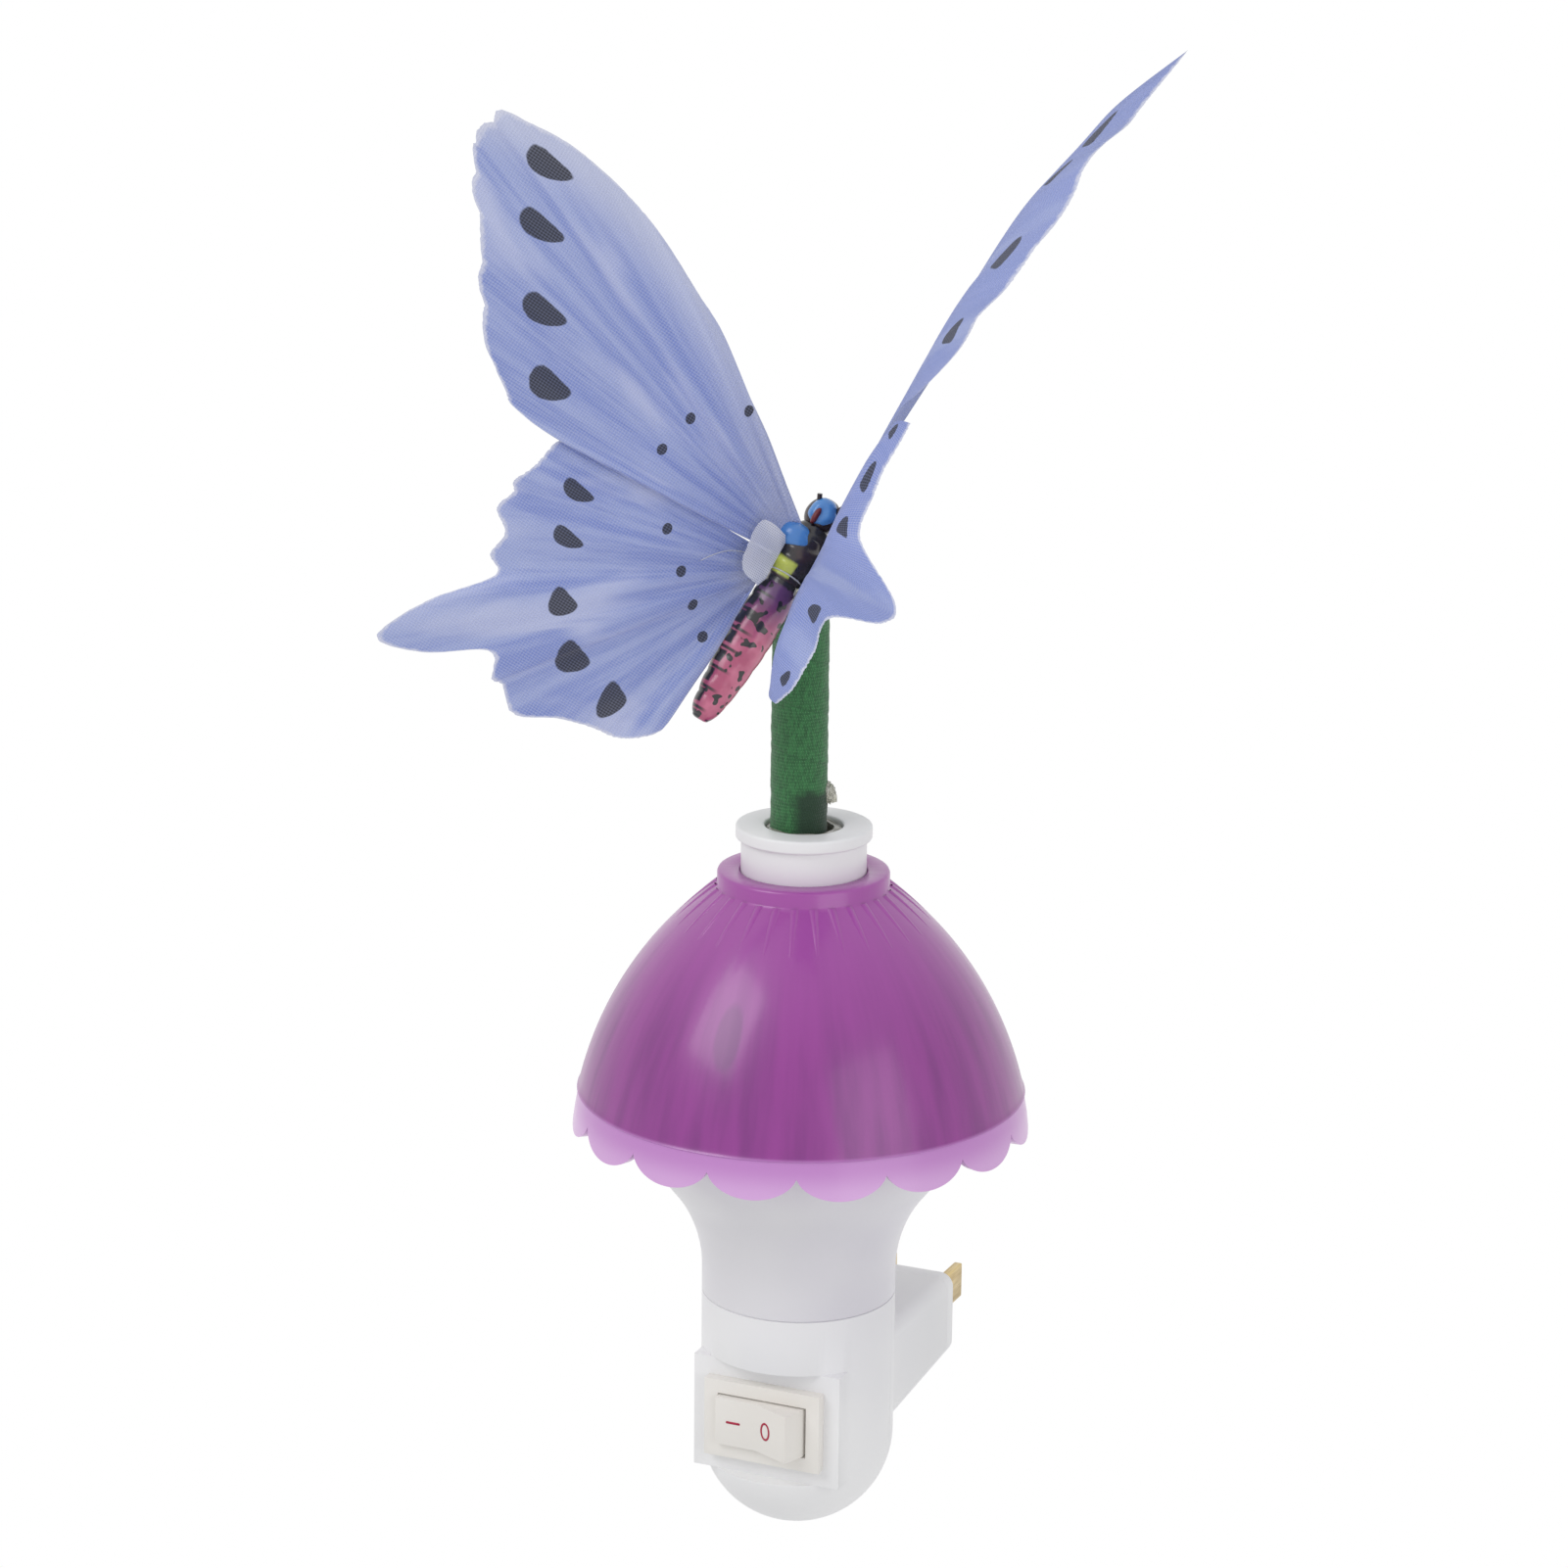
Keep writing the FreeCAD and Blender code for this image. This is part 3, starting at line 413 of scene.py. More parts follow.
viewLook = {"azimuth": 23.6, "elevation": 15.28, "roll": 0.63, "distance": 724.0,
            "aimHeight": 106.8, "aimShift": -3.4, "pixelLength": 4500.0, "pixels": 1601.0}
azimuth = math.radians(viewLook["azimuth"])
elevation = math.radians(viewLook["elevation"])
roll = math.radians(viewLook["roll"])
towards = Vector((math.sin(azimuth) * math.cos(elevation), -math.cos(azimuth) * math.cos(elevation),
                  math.sin(elevation)))
rightWay = Vector((math.cos(azimuth), math.sin(azimuth), 0))
upWay = towards.cross(rightWay)
aim = Vector((0, axisY, viewLook["aimHeight"])) + rightWay * viewLook["aimShift"]
stand = (aim + towards * viewLook["distance"]) * mm
tippedRight = rightWay * math.cos(roll) + upWay * math.sin(roll)
tippedUp = upWay * math.cos(roll) - rightWay * math.sin(roll)
cameraData = bpy.data.cameras.new("camera")
cameraData.sensor_width = 36.0
cameraData.lens = 36.0 * viewLook["pixelLength"] / viewLook["pixels"]
camera = linked("camera", cameraData)
turn = Matrix((tippedRight, tippedUp, towards)).transposed().to_4x4()
camera.matrix_world = Matrix.Translation(stand) @ turn
bpy.context.scene.camera = camera
print("stage: camera placed")

# Base, plug and switch

for node, finish, edge in (
        ("front_housing", whitePlastic, 0.2), ("rear_housing", whitePlastic, 0.2),
        ("plug_face", whitePlastic, 0.25), ("switch_frame", creamPlastic, 0.3),
        ("blade_left", bladeBrass, 0.25), ("blade_right", bladeBrass, 0.25),
        ("cup_deck", whitePlastic, 0.2), ("housing_screws", screwSteel, 0.12)):
    softened(node, finish, edge)
softened("switch_rocker", creamPlastic, 0.25, "rocker")

for node, finish in (
        ("switch_terminals", contactBrass), ("switch_contact", contactBrass),
        ("rocker_plunger", whitePlastic), ("lead_live", leadRubber),
        ("lead_neutral", leadRubber), ("lead_switched", leadRubber),
        ("circuit_board", boardGreen), ("dropper_capacitor", orangeCase), ("bridge_rectifier", blackCase),
        ("board_resistors", orangeCase), ("stem_core", rodPlastic), ("lamp_leds", ledLens)):
    part = bpy.data.objects[node]
    for place in part.material_slots:
        place.material = finish.material
    if not part.material_slots:
        part.data.materials.append(finish.material)

switchLook = {"pivotY": -55.9, "level": -1.0, "tilt": 12.0, "valley": 2.9, "half": 7.2,
              "barLong": 2.5, "barHigh": 0.4, "ringWide": 2.2, "ringHigh": 3.2, "ringLine": 0.36,
              "inlay": 0.06}


def onRocker(along, height, lift):
    # a point on the rocker's front: along it from the middle, up it, and proud of it
    tilt = math.radians(switchLook["tilt"])
    depth = -switchLook["valley"] - abs(along) * math.tan(tilt) - lift
    x = along * math.cos(-tilt) - depth * math.sin(-tilt)
    y = along * math.sin(-tilt) + depth * math.cos(-tilt)
    return (x, switchLook["pivotY"] + y, switchLook["level"] + height)


def rockerMark(name, outer, inner, centre):
    # a thin printed mark between two outlines about a centre, or filled where it has no inner one
    points = []
    faces = []
    count = len(outer)
    for lift in (switchLook["inlay"], -0.1):
        for outline in (outer, inner or [(0, 0)] * count):
            points += [onRocker(centre[0] + x, centre[1] + z, lift) for x, z in outline]
    for step in range(count):
        ahead = (step + 1) % count
        for low, high in ((0, count), (2 * count, 0), (count, 3 * count), (3 * count, 2 * count)):
            faces.append((low + step, low + ahead, high + ahead, high + step))
    return pointOutwards(layOut(points, faces, name, crimsonInk, "rocker"), 0.000001)


barLong = switchLook["barLong"]
barHigh = switchLook["barHigh"]
offAxis = 9.0    # keeps the bar's corners clear of the line that eased() leaves alone
barCorners = [(offAxis + x * barLong, offAxis + z * barHigh) for x, z in ((0, 0), (1, 0), (1, 1), (0, 1))]
barOutline = [(x - offAxis - barLong / 2, z - offAxis - barHigh / 2) for x, z in eased(barCorners, 0.2)]
rockerMark("mark_bar", barOutline, None, (-4.0, 0.0))


def oval(inset):
    wide = switchLook["ringWide"] / 2 - inset
    high = switchLook["ringHigh"] / 2 - inset
    return [(wide * math.cos(angle), high * math.sin(angle)) for angle in turns(40)]


ringMark = rockerMark("mark_ring", oval(0.0), oval(switchLook["ringLine"]), (2.4, 0.0))
print("stage: base and switch done")

# Trumpet cup

cupLook = {"base": 18.5, "straight": 4.0, "radius": 16.4, "arc": 23.4, "turn": 38.5, "wall": 1.4,
           "rimRadius": 35.45, "rimTop": 54.6, "spigotRadius": 14.5, "spigotLow": 15.5}


def cupWall(inset):
    turned = math.radians(cupLook["turn"])
    radius = cupLook["radius"] - inset
    arc = cupLook["arc"] + inset
    low = cupLook["base"] + cupLook["straight"]
    made = [(radius, low)]
    for step in range(1, 25):
        angle = turned * step / 24
        made.append((radius + arc * (1 - math.cos(angle)), low + arc * math.sin(angle)))
    made.append((cupLook["rimRadius"] - inset / math.cos(turned), cupLook["rimTop"]))
    return made


cupOutline = [(cupLook["spigotRadius"], cupLook["spigotLow"]), (cupLook["spigotRadius"], cupLook["base"]),
              (cupLook["radius"] - 0.25, cupLook["base"]), (cupLook["radius"], cupLook["base"] + 0.3)]
cupOutline += cupWall(0.0)
cupOutline += cupWall(cupLook["wall"])[::-1]
cupOutline += [(cupLook["spigotRadius"] - cupLook["wall"], cupLook["base"]),
               (cupLook["spigotRadius"] - cupLook["wall"], cupLook["spigotLow"])]
cupPiece = spin("cup_look", cupOutline, cupPlastic)
cupPiece.data.set_sharp_from_angle(angle=math.radians(35))
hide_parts("lamp_cup")

# Shade: dome with a scalloped hem and a ring on top

domeLook = {"hemRadius": 38.3, "hemTip": 48.1, "hemDrop": 3.6, "lobes": 16, "rimRadius": 37.2,
            "rimLevel": 54.6, "arc": 60.0, "wall": 1.5, "ringRadius": 14.3, "ringBase": 89.6, "ringTop": 92.4,
            "boreRadius": 10.5, "pleats": 30, "pleatHigh": 0.3, "pleatWide": 0.9}
hemTip = domeLook["hemTip"]
rimRadius = domeLook["rimRadius"]
rimLevel = domeLook["rimLevel"]
ringRadius = domeLook["ringRadius"]
ringBase = domeLook["ringBase"]
ringTop = domeLook["ringTop"]
boreRadius = domeLook["boreRadius"]
shadeWall = domeLook["wall"]
hemSlope = (domeLook["hemRadius"] - rimRadius) / (rimLevel - hemTip)


def hemLow(angle):
    # the hem's lower edge: round lobes that meet in sharp notches
    across = (angle * domeLook["lobes"] / (2 * math.pi)) % 1.0 * 2 - 1
    fullness = 0.94
    rise = (1 - math.sqrt(max(0.0, 1 - fullness * across ** 2))) / (1 - math.sqrt(1 - fullness))
    return hemTip + domeLook["hemDrop"] * rise


def shadeShape(radius, height, angle):
    # squeezes the plain hem's rows up between the lobes, and in along its slope
    if height >= rimLevel - tiny:
        return radius, height
    low = hemLow(angle)
    high = low + (height - hemTip) / (rimLevel - hemTip) * (rimLevel - low)
    return radius - hemSlope * (high - height), high


def hemRow(radius, height):
    return (radius + hemSlope * (rimLevel - height), height)


domeCurve = arcTo((rimRadius, rimLevel + 0.4), (ringRadius + 0.15, ringBase), domeLook["arc"], 56)
outer = [hemRow(rimRadius, hemTip + rise) for rise in (0.0, 0.15, 0.7, 1.9, 3.2, 4.5, 5.7, 6.25)]
outer += [(rimRadius + 0.28, rimLevel), (rimRadius + 0.05, rimLevel + 0.35)]
outer += domeCurve
outer += [(ringRadius, ringBase + 0.3), (ringRadius, ringTop - 0.5), (ringRadius - 0.15, ringTop - 0.15),
          (ringRadius - 0.5, ringTop), (boreRadius + 0.3, ringTop), (boreRadius, ringTop - 0.3),
          (boreRadius, ringBase - 1.2)]
inner = [(rimRadius - shadeWall, rimLevel)]
inner += arcTo(inner[0], (ringRadius - shadeWall, ringBase - 1.6), domeLook["arc"] - shadeWall, 40)
hemInner = [hemRow(rimRadius - shadeWall, hemTip + rise) for rise in (0.0, 0.7, 3.2, 5.7)]
shadePiece = spin("shade_look", outer + (hemInner + inner)[::-1], shadePlastic, steps=512, shape=shadeShape)
shadePiece.data.set_sharp_from_angle(angle=math.radians(48))
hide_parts("shade")


def copiesAround(piece, count, finish):
    # the piece repeated about the shade's upright line, as one mesh
    tree = bpy.data.node_groups.new("copies_around", "GeometryNodeTree")
    tree.interface.new_socket("Geometry", in_out="INPUT", socket_type="NodeSocketGeometry")
    tree.interface.new_socket("Copies", in_out="INPUT", socket_type="NodeSocketInt")
    tree.interface.new_socket("Geometry", in_out="OUTPUT", socket_type="NodeSocketGeometry")
    entry = nodeIn(tree, "NodeGroupInput").outputs
    number = nodeIn(tree, "GeometryNodeInputIndex").outputs[0]
    share = nodeIn(tree, "ShaderNodeMath", {0: number, 1: entry["Copies"]}, operation="DIVIDE").outputs[0]
    angle = nodeIn(tree, "ShaderNodeMath", {0: share, 1: 2 * math.pi}, operation="MULTIPLY").outputs[0]
    turnAbout = nodeIn(tree, "ShaderNodeCombineXYZ", {2: angle}).outputs[0]
    middle = (0, axisY * mm, 0)
    spots = nodeIn(tree, "GeometryNodePoints", {"Position": middle, "Count": entry["Copies"]}).outputs[0]
    setBack = nodeIn(tree, "GeometryNodeTransform",
                     {"Translation": (0, -axisY * mm, 0), "Geometry": entry["Geometry"]}).outputs[0]
    repeat = nodeIn(tree, "GeometryNodeInstanceOnPoints",
                    {"Points": spots, "Instance": setBack, "Rotation": turnAbout}).outputs[0]
    real = nodeIn(tree, "GeometryNodeRealizeInstances", {0: repeat}).outputs[0]
    dress = nodeIn(tree, "GeometryNodeSetMaterial", {"Material": finish.material, "Geometry": real})
    nodeIn(tree, "NodeGroupOutput", {0: dress.outputs[0]})
    around = piece.modifiers.new("around", "NODES")
    around.node_group = tree
    for item in tree.interface.items_tree:
        if item.name == "Copies" and item.in_out == "INPUT":
            around[item.identifier] = count
    settle(piece)


pleatRows = domeCurve[-13:]
pleatPoints = []
for index, (radius, height) in enumerate(pleatRows):
    grown = index / (len(pleatRows) - 1)
    wide = domeLook["pleatWide"] * (0.5 + 0.5 * grown)
    for side, proud in ((-1, -0.15), (-0.45, 0.7), (0, 1), (0.45, 0.7), (1, -0.15)):
        lift = proud * domeLook["pleatHigh"] * grown if proud > 0 else proud
        pleatPoints.append((radius + lift, axisY + side * wide, height + lift * 0.5))
pleatPiece = layOut(pleatPoints, gridFaces(len(pleatRows), 5), "shade_pleats", shadePlastic, None)
copiesAround(pleatPiece, domeLook["pleats"], shadePlastic)
smooth(pleatPiece.data)
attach(pleatPiece, "lamp")

# Collar and stem

collarLook = {"radius": 10.4, "lipRadius": 11.3, "low": 85.6, "lipLow": 97.9, "top": 100.1,
              "socketRadius": 6.5, "socketLow": 91.1, "edge": 0.45}
collarRadius = collarLook["radius"]
socketRadius = collarLook["socketRadius"]
collarCorners = [
    (0.0, collarLook["low"]), (collarRadius, collarLook["low"]), (collarRadius, collarLook["lipLow"]),
    (collarLook["lipRadius"], collarLook["lipLow"]), (collarLook["lipRadius"], collarLook["top"]),
    (socketRadius, collarLook["top"]), (socketRadius, collarLook["socketLow"]), (0.0, collarLook["socketLow"])]
collarOutline = eased(collarCorners, collarLook["edge"])
collarPiece = spin("collar_look", collarOutline, whitePlastic, steps=128)
collarPiece.data.set_sharp_from_angle(angle=math.radians(38))
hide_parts("collar")

stemLook = {"x": -1.0, "radius": 4.7, "low": 91.1, "top": 140.6,
            "pitch": 8.5, "step": 0.16, "crease": 0.09,
            "green": paint(52, 118, 66), "deep": paint(34, 88, 48), "pale": paint(92, 152, 100),
            "glueDark": paint(20, 54, 32)}
stemTape = Finish("stem_green", stemLook["green"], 0.78, {"Sheen Weight": 0.25, "Sheen Roughness": 0.5})
tapeX, tapeY, tapeZ = stemTape.split(stemTape.place())
crepe = stemTape.cloud(1.0, stemTape.join(tapeX * 2600, tapeY * 2600, tapeZ * 900), detail=4, roughness=0.6)
turnTape = (tapeY - axisY * mm).calc("ARCTAN2", tapeX + 0.001)
mesh = stemTape.stripes(turnTape * 0.0047 + tapeZ * 0.35, 0.00042) * stemTape.stripes(tapeZ, 0.00055)
tapeTone = stemTape.blend(crepe.ramp(0.36, 0.68), stemLook["deep"], stemLook["green"])
tapeTone = stemTape.blend(mesh.ramp(0.35, 0.95) * 0.5, tapeTone, stemLook["pale"])
# painted shade: a narrow darker band along each lapped edge of the tape, on the step where the wrap overlaps
lap = (turnTape * (stemLook["pitch"] * mm / (2 * math.pi)) + tapeZ).calc("WRAP", stemLook["pitch"] * mm, 0.0)
tapeTone = stemTape.blend(lap.ramp(0.0, 0.0007) * -0.55 + 0.55, tapeTone, stemLook["deep"])
wet = stemTape.cloud(260) * 0.004 + tapeZ
tapeTone = stemTape.blend((wet.ramp(0.1075, 0.1092) * -1 + 1) * tapeX.ramp(-0.001, 0.0015), tapeTone,
                          stemLook["glueDark"])
stemTape.tint(tapeTone)
stemTape.relief(crepe * 0.6 + mesh * 0.4, 0.00022, 0.8)


def tapeRadius(angle, height):
    lapped = (height / stemLook["pitch"] + angle / (2 * math.pi)) % 1.0
    rough = noise.noise(Vector((math.cos(angle) * 2.2, math.sin(angle) * 2.2, height * 0.7)))
    return (stemLook["radius"] - 0.12 + stemLook["step"] * min(1.0, lapped * 14) * (1 - 0.6 * lapped)
            + stemLook["crease"] * rough)


stemPoints = []
stemSteps = 120
stemRows = 260
for row in range(stemRows + 1):
    height = stemLook["low"] + (stemLook["top"] - stemLook["low"]) * row / stemRows
    for angle in turns(stemSteps):
        radius = tapeRadius(angle, height)
        spot = (stemLook["x"] + radius * math.cos(angle), axisY + radius * math.sin(angle), height)
        stemPoints.append(spot)
stemFaces = gridFaces(stemRows + 1, stemSteps, closed=True)
for row, way in ((0, -1), (stemRows, 1)):
    hub = len(stemPoints)
    stemPoints.append((stemLook["x"], axisY, stemLook["low"] if way < 0 else stemLook["top"]))
    for step in range(stemSteps):
        ahead = (step + 1) % stemSteps
        low = row * stemSteps
        stemFaces.append((low + ahead, low + step, hub) if way < 0 else (low + step, low + ahead, hub))
stemPiece = layOut(stemPoints, stemFaces, "stem_look", stemTape)
stemPiece.data.set_sharp_from_angle(angle=math.radians(60))
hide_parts("stem_wrap")

glueLook = {"tint": paint(226, 224, 214), "cloudy": paint(206, 204, 190)}
clearGlue = Finish("clear_glue", glueLook["tint"], 0.16, {"Transmission Weight": 0.6, "IOR": 1.45})
clearGlue.tint(clearGlue.blend(clearGlue.cloud(420).ramp(0.4, 0.7), glueLook["tint"], glueLook["cloudy"]))
clearGlue.rough(0.08, 0.3, clearGlue.cloud(300))
clearGlue.relief(clearGlue.cloud(600), 0.0002, 0.6)


def glueBlob(name, centre, sizes, seed, lumps=0.18, node=None):
    work = bmesh.new()
    bmesh.ops.create_icosphere(work, subdivisions=5, radius=1.0)
    work.verts.index_update()
    points = []
    for vert in work.verts:
        way = vert.co.normalized()
        broad = noise.noise(way * 1.7 + Vector((seed, 0, 0)))
        fine = noise.noise(way * 5 + Vector((0, seed, 0)))
        swell = 1 + lumps * broad + lumps * 0.4 * fine
        points.append([centre[axis] + way[axis] * sizes[axis] * swell for axis in range(3)])
    faces = [[vert.index for vert in face.verts] for face in work.faces]
    work.free()
    blob = layOut(points, faces, name, clearGlue)
    if node:
        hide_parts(node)


def glueRing(radius, height, angle):
    bump = noise.noise(Vector((math.cos(angle) * 2, math.sin(angle) * 2, 3)))
    return (radius, height + 0.35 * bump if height > 99 else height)


glueOutline = eased([(4.9, 91.2), (6.45, 91.2), (6.45, 99.4), (4.9, 99.7)], 0.3)
gluePiece = spin("glue_look", glueOutline, clearGlue, steps=96, shape=glueRing)
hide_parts("stem_glue")
glueBlob("perch_blob", (0.6, axisY - 4.3, 142.0), (3.3, 3.3, 2.8), 4.0, node="perch_glue")
tuftSpot = Vector((stemLook["x"], axisY, 105.2)) + rightWay * 5.0 + towards * 0.8
glueBlob("glue_tuft", tuple(tuftSpot), (1.0, 0.9, 1.9), 9.0, 0.5)
print("stage: cup, shade, collar and stem done")

# Butterfly: its own frame has the body along its length, the left wing out and its face ahead

perch = Vector((2.0, axisY - 7.8, 147.2))
alongWay = Vector((0.378, 0.412, 0.829)).normalized()
outWay = Vector((-0.841, -0.220, 0.493))
aheadWay = alongWay.cross(outWay).normalized()
outWay = aheadWay.cross(alongWay)


def onBody(along, out, ahead):
    return perch + alongWay * along + outWay * out + aheadWay * ahead


bodyLook = {
    "abdomen": [(-31, 0.9), (-30.6, 1.6), (-29, 2.3), (-26, 2.9), (-22, 3.35), (-18, 3.65), (-13, 3.75),
                (-9, 3.5), (-6.5, 2.95), (-5.0, 2.6)],
    "thorax": [(-5.0, 2.5), (-4.2, 3.0), (-2.6, 3.6), (0, 3.75), (2.4, 3.55), (4.4, 2.9), (5.0, 2.4)],
    "head": [(4.6, 1.6), (5.2, 2.4), (6.6, 2.9), (8.0, 2.8), (9.1, 2.2), (9.8, 1.2), (10.0, 0.4)],
    "pink": paint(176, 78, 114), "rose": paint(204, 112, 142), "plum": paint(104, 62, 112),
    "black": paint(30, 27, 32), "brown": paint(58, 34, 40),
    "lime": paint(196, 206, 84), "red": paint(132, 48, 54),
    "blue": paint(92, 160, 226), "blueDeep": paint(62, 124, 200),
}


def bodyPart(name, stations, finish, bumps, seed, node):
    # a painted foam form about the body's length, with a slightly uneven hand-made surface
    points = []
    angles = []
    lengths = []
    steps = 96
    count = 110
    for row in range(count + 1):
        spot = through(stations, row / count)
        for angle in turns(steps):
            way = Vector((spot.x * 0.35, math.cos(angle) * 1.3, math.sin(angle) * 1.3))
            uneven = 1 + 0.05 * noise.noise(way + Vector((seed, 0, 0)))
            radius = max(0.05, spot.y) * uneven + bumps(spot.x, angle)
            points.append(onBody(spot.x, radius * math.cos(angle), radius * math.sin(angle)))
            lengths.append(spot.x / 10)
            angles.append(angle)
    faces = gridFaces(count + 1, steps, closed=True)
    for row, spot in ((0, stations[0]), (count, stations[-1])):
        hub = len(points)
        points.append(onBody(spot[0], 0, 0))
        lengths.append(spot[0] / 10)
        angles.append(0)
        for step in range(steps):
            faces.append((row * steps + step, row * steps + (step + 1) % steps, hub))
    piece = layOut(points, faces, name, finish, values={"along": lengths, "around": angles})
    pointOutwards(piece)
    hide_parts(node)


def segments(along, angle):
    # shallow rings pressed into the abdomen, deepest at its left edge
    pressed = abs(math.sin((along + 6) * math.pi / 3.5)) ** 0.5
    return -0.28 * (1 - pressed) * (0.45 + 0.55 * max(0.0, math.cos(angle - 0.35)))


def thoraxRolls(along, angle):
    return 0.22 * math.sin(along * 2.3 + math.sin(angle) * 1.2)


def plain(along, angle):
    return 0.0


abdomenPaint = Finish("abdomen_paint", bodyLook["pink"], 0.3, {"Coat Weight": 0.5, "Coat Roughness": 0.2})
alongBody = abdomenPaint.attribute("along")
aroundBody = abdomenPaint.attribute("around")
mottle = abdomenPaint.cloud(210, detail=3)
skin = abdomenPaint.blend(mottle.ramp(0.38, 0.66), bodyLook["pink"], bodyLook["rose"])
skin = abdomenPaint.blend(alongBody.ramp(-1.7, -0.7), skin, bodyLook["plum"])
fleck = abdomenPaint.cloud(520, detail=1)
skin = abdomenPaint.blend(fleck.ramp(0.60, 0.63), skin, bodyLook["black"])
fromEdge = ((aroundBody - 0.45).calc("COSINE") + mottle * 0.24).ramp(0.93, 1.0)
bandTurn = abdomenPaint.stripes(alongBody + mottle * 0.06, 0.35).ramp(0.2, 0.42)
skin = abdomenPaint.blend(fromEdge * (bandTurn * 0.8 + 0.2), skin, bodyLook["black"])
ringsOf = abdomenPaint.stripes(alongBody + 0.05, 0.35).ramp(0.0, 0.1) * -1 + 1
ringsOf = ringsOf * (aroundBody - 0.5).calc("COSINE").ramp(0.2, 0.8)
skin = abdomenPaint.blend(ringsOf, skin, bodyLook["black"])
skin = abdomenPaint.blend(alongBody.ramp(-0.62, -0.56), skin, bodyLook["black"])
abdomenPaint.tint(skin)
abdomenPaint.rough(0.22, 0.42, mottle)
abdomenPaint.relief(mottle, 0.0003, 0.7)

thoraxPaint = Finish("thorax_paint", bodyLook["black"], 0.26, {"Coat Weight": 0.5, "Coat Roughness": 0.18})
alongThorax = thoraxPaint.attribute("along")
aroundThorax = thoraxPaint.attribute("around")
streak = thoraxPaint.cloud(240, detail=3)
hide = thoraxPaint.blend(streak.ramp(0.45, 0.72), bodyLook["black"], bodyLook["brown"])
limeTurn = (aroundThorax - 0.95).calc("COSINE") + streak * 0.2
limeEnd = (alongThorax + streak * 0.1).ramp(-0.16, -0.10) * -1 + 1
limeSpan = (alongThorax + streak * 0.12).ramp(-0.40, -0.36) * limeEnd
hide = thoraxPaint.blend(limeTurn.ramp(0.74, 0.82) * limeSpan, hide, bodyLook["lime"])
thoraxPaint.tint(hide)
thoraxPaint.rough(0.18, 0.36, streak)
thoraxPaint.relief(streak, 0.0003, 0.7)

headPaint = moulded("head_paint", bodyLook["black"], bodyLook["brown"], 0.26, 400)
patchBlue = moulded("patch_blue", bodyLook["blue"], bodyLook["blueDeep"], 0.28, 300,
                    {"Coat Weight": 0.4, "Coat Roughness": 0.15})
notchRed = moulded("notch_red", bodyLook["red"], paint(96, 34, 40), 0.35, 400)

bodyPart("abdomen_look", bodyLook["abdomen"], abdomenPaint, segments, 2.0, "butterfly_abdomen")
bodyPart("thorax_look", bodyLook["thorax"], thoraxPaint, thoraxRolls, 5.0, "butterfly_thorax")
bodyPart("head_look", bodyLook["head"], headPaint, plain, 8.0, "butterfly_head")


def dome(name, centre, sizes, finish, seed, node=None, hollow=0.0):
    # a low painted bump on the body, drawn in or ring shaped where hollow says
    points = []
    steps = 56
    rings = 20
    for ring in range(1, rings + 1):
        part = ring / rings
        for angle in turns(steps):
            way = Vector((math.cos(angle), math.sin(angle), 0))
            edge = 1 + 0.08 * noise.noise(way * 1.5 + Vector((seed, 0, 0)))
            lift = math.sqrt(max(0.0, 1 - part ** 2)) - hollow * math.exp(-(part / 0.42) ** 2)
            points.append(onBody(centre[0] + sizes[0] * part * edge * way.x,
                                 centre[1] + sizes[1] * part * edge * way.y,
                                 centre[2] + sizes[2] * lift))
    hub = len(points)
    points.append(onBody(centre[0], centre[1], centre[2] + sizes[2] * (1 - hollow)))
    under = len(points)
    points.append(onBody(centre[0], centre[1], centre[2] - 0.4))
    faces = gridFaces(rings, steps, closed=True)
    last = (rings - 1) * steps
    for step in range(steps):
        ahead = (step + 1) % steps
        faces += [(hub, ahead, step), (last + step, last + ahead, under)]
    piece = pointOutwards(layOut(points, faces, name, finish))
    if node:
        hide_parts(node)


dome("patch_head", (7.4, 0.2, 1.4), (2.5, 2.3, 2.0), patchBlue, 1.0, "butterfly_eyes", hollow=0.25)
dome("patch_thorax", (2.0, 1.7, 1.9), (2.3, 3.1, 2.2), patchBlue, 3.0)
dome("notch_head", (6.5, 0.9, 2.55), (1.5, 0.6, 1.0), notchRed, 7.0)


def strand(name, spots, radius, finish, closed=False):
    curve = bpy.data.curves.new(name, "CURVE")
    curve.dimensions = "3D"
    curve.bevel_depth = radius * mm
    curve.bevel_resolution = 3
    curve.use_fill_caps = True
    line = curve.splines.new("NURBS")
    line.points.add(len(spots) - 1)
    for point, spot in zip(line.points, spots):
        point.co = tuple(value * mm for value in spot) + (1.0,)
    line.order_u = 3
    line.use_endpoint_u = not closed
    line.use_cyclic_u = closed
    line.resolution_u = 6
    drawn = linked(name + "_line", curve)
    made = shownMesh(drawn)
    bpy.data.objects.remove(drawn)
    made.name = name
    made.materials.clear()
    made.materials.append(finish.material)
    smooth(made)
    piece = linked(name, made)
    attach(piece, "lamp")
    return piece


for side, word in ((1, "left"), (-1, "right")):
    spots = [onBody(7.6, side * 1.0, 1.0), onBody(8.8, side * 1.7, 1.7), onBody(9.8, side * 2.2, 2.0)]
    feeler = strand("feeler_" + word, spots, 0.42, headPaint)
    if side > 0:
        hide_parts("butterfly_feelers")

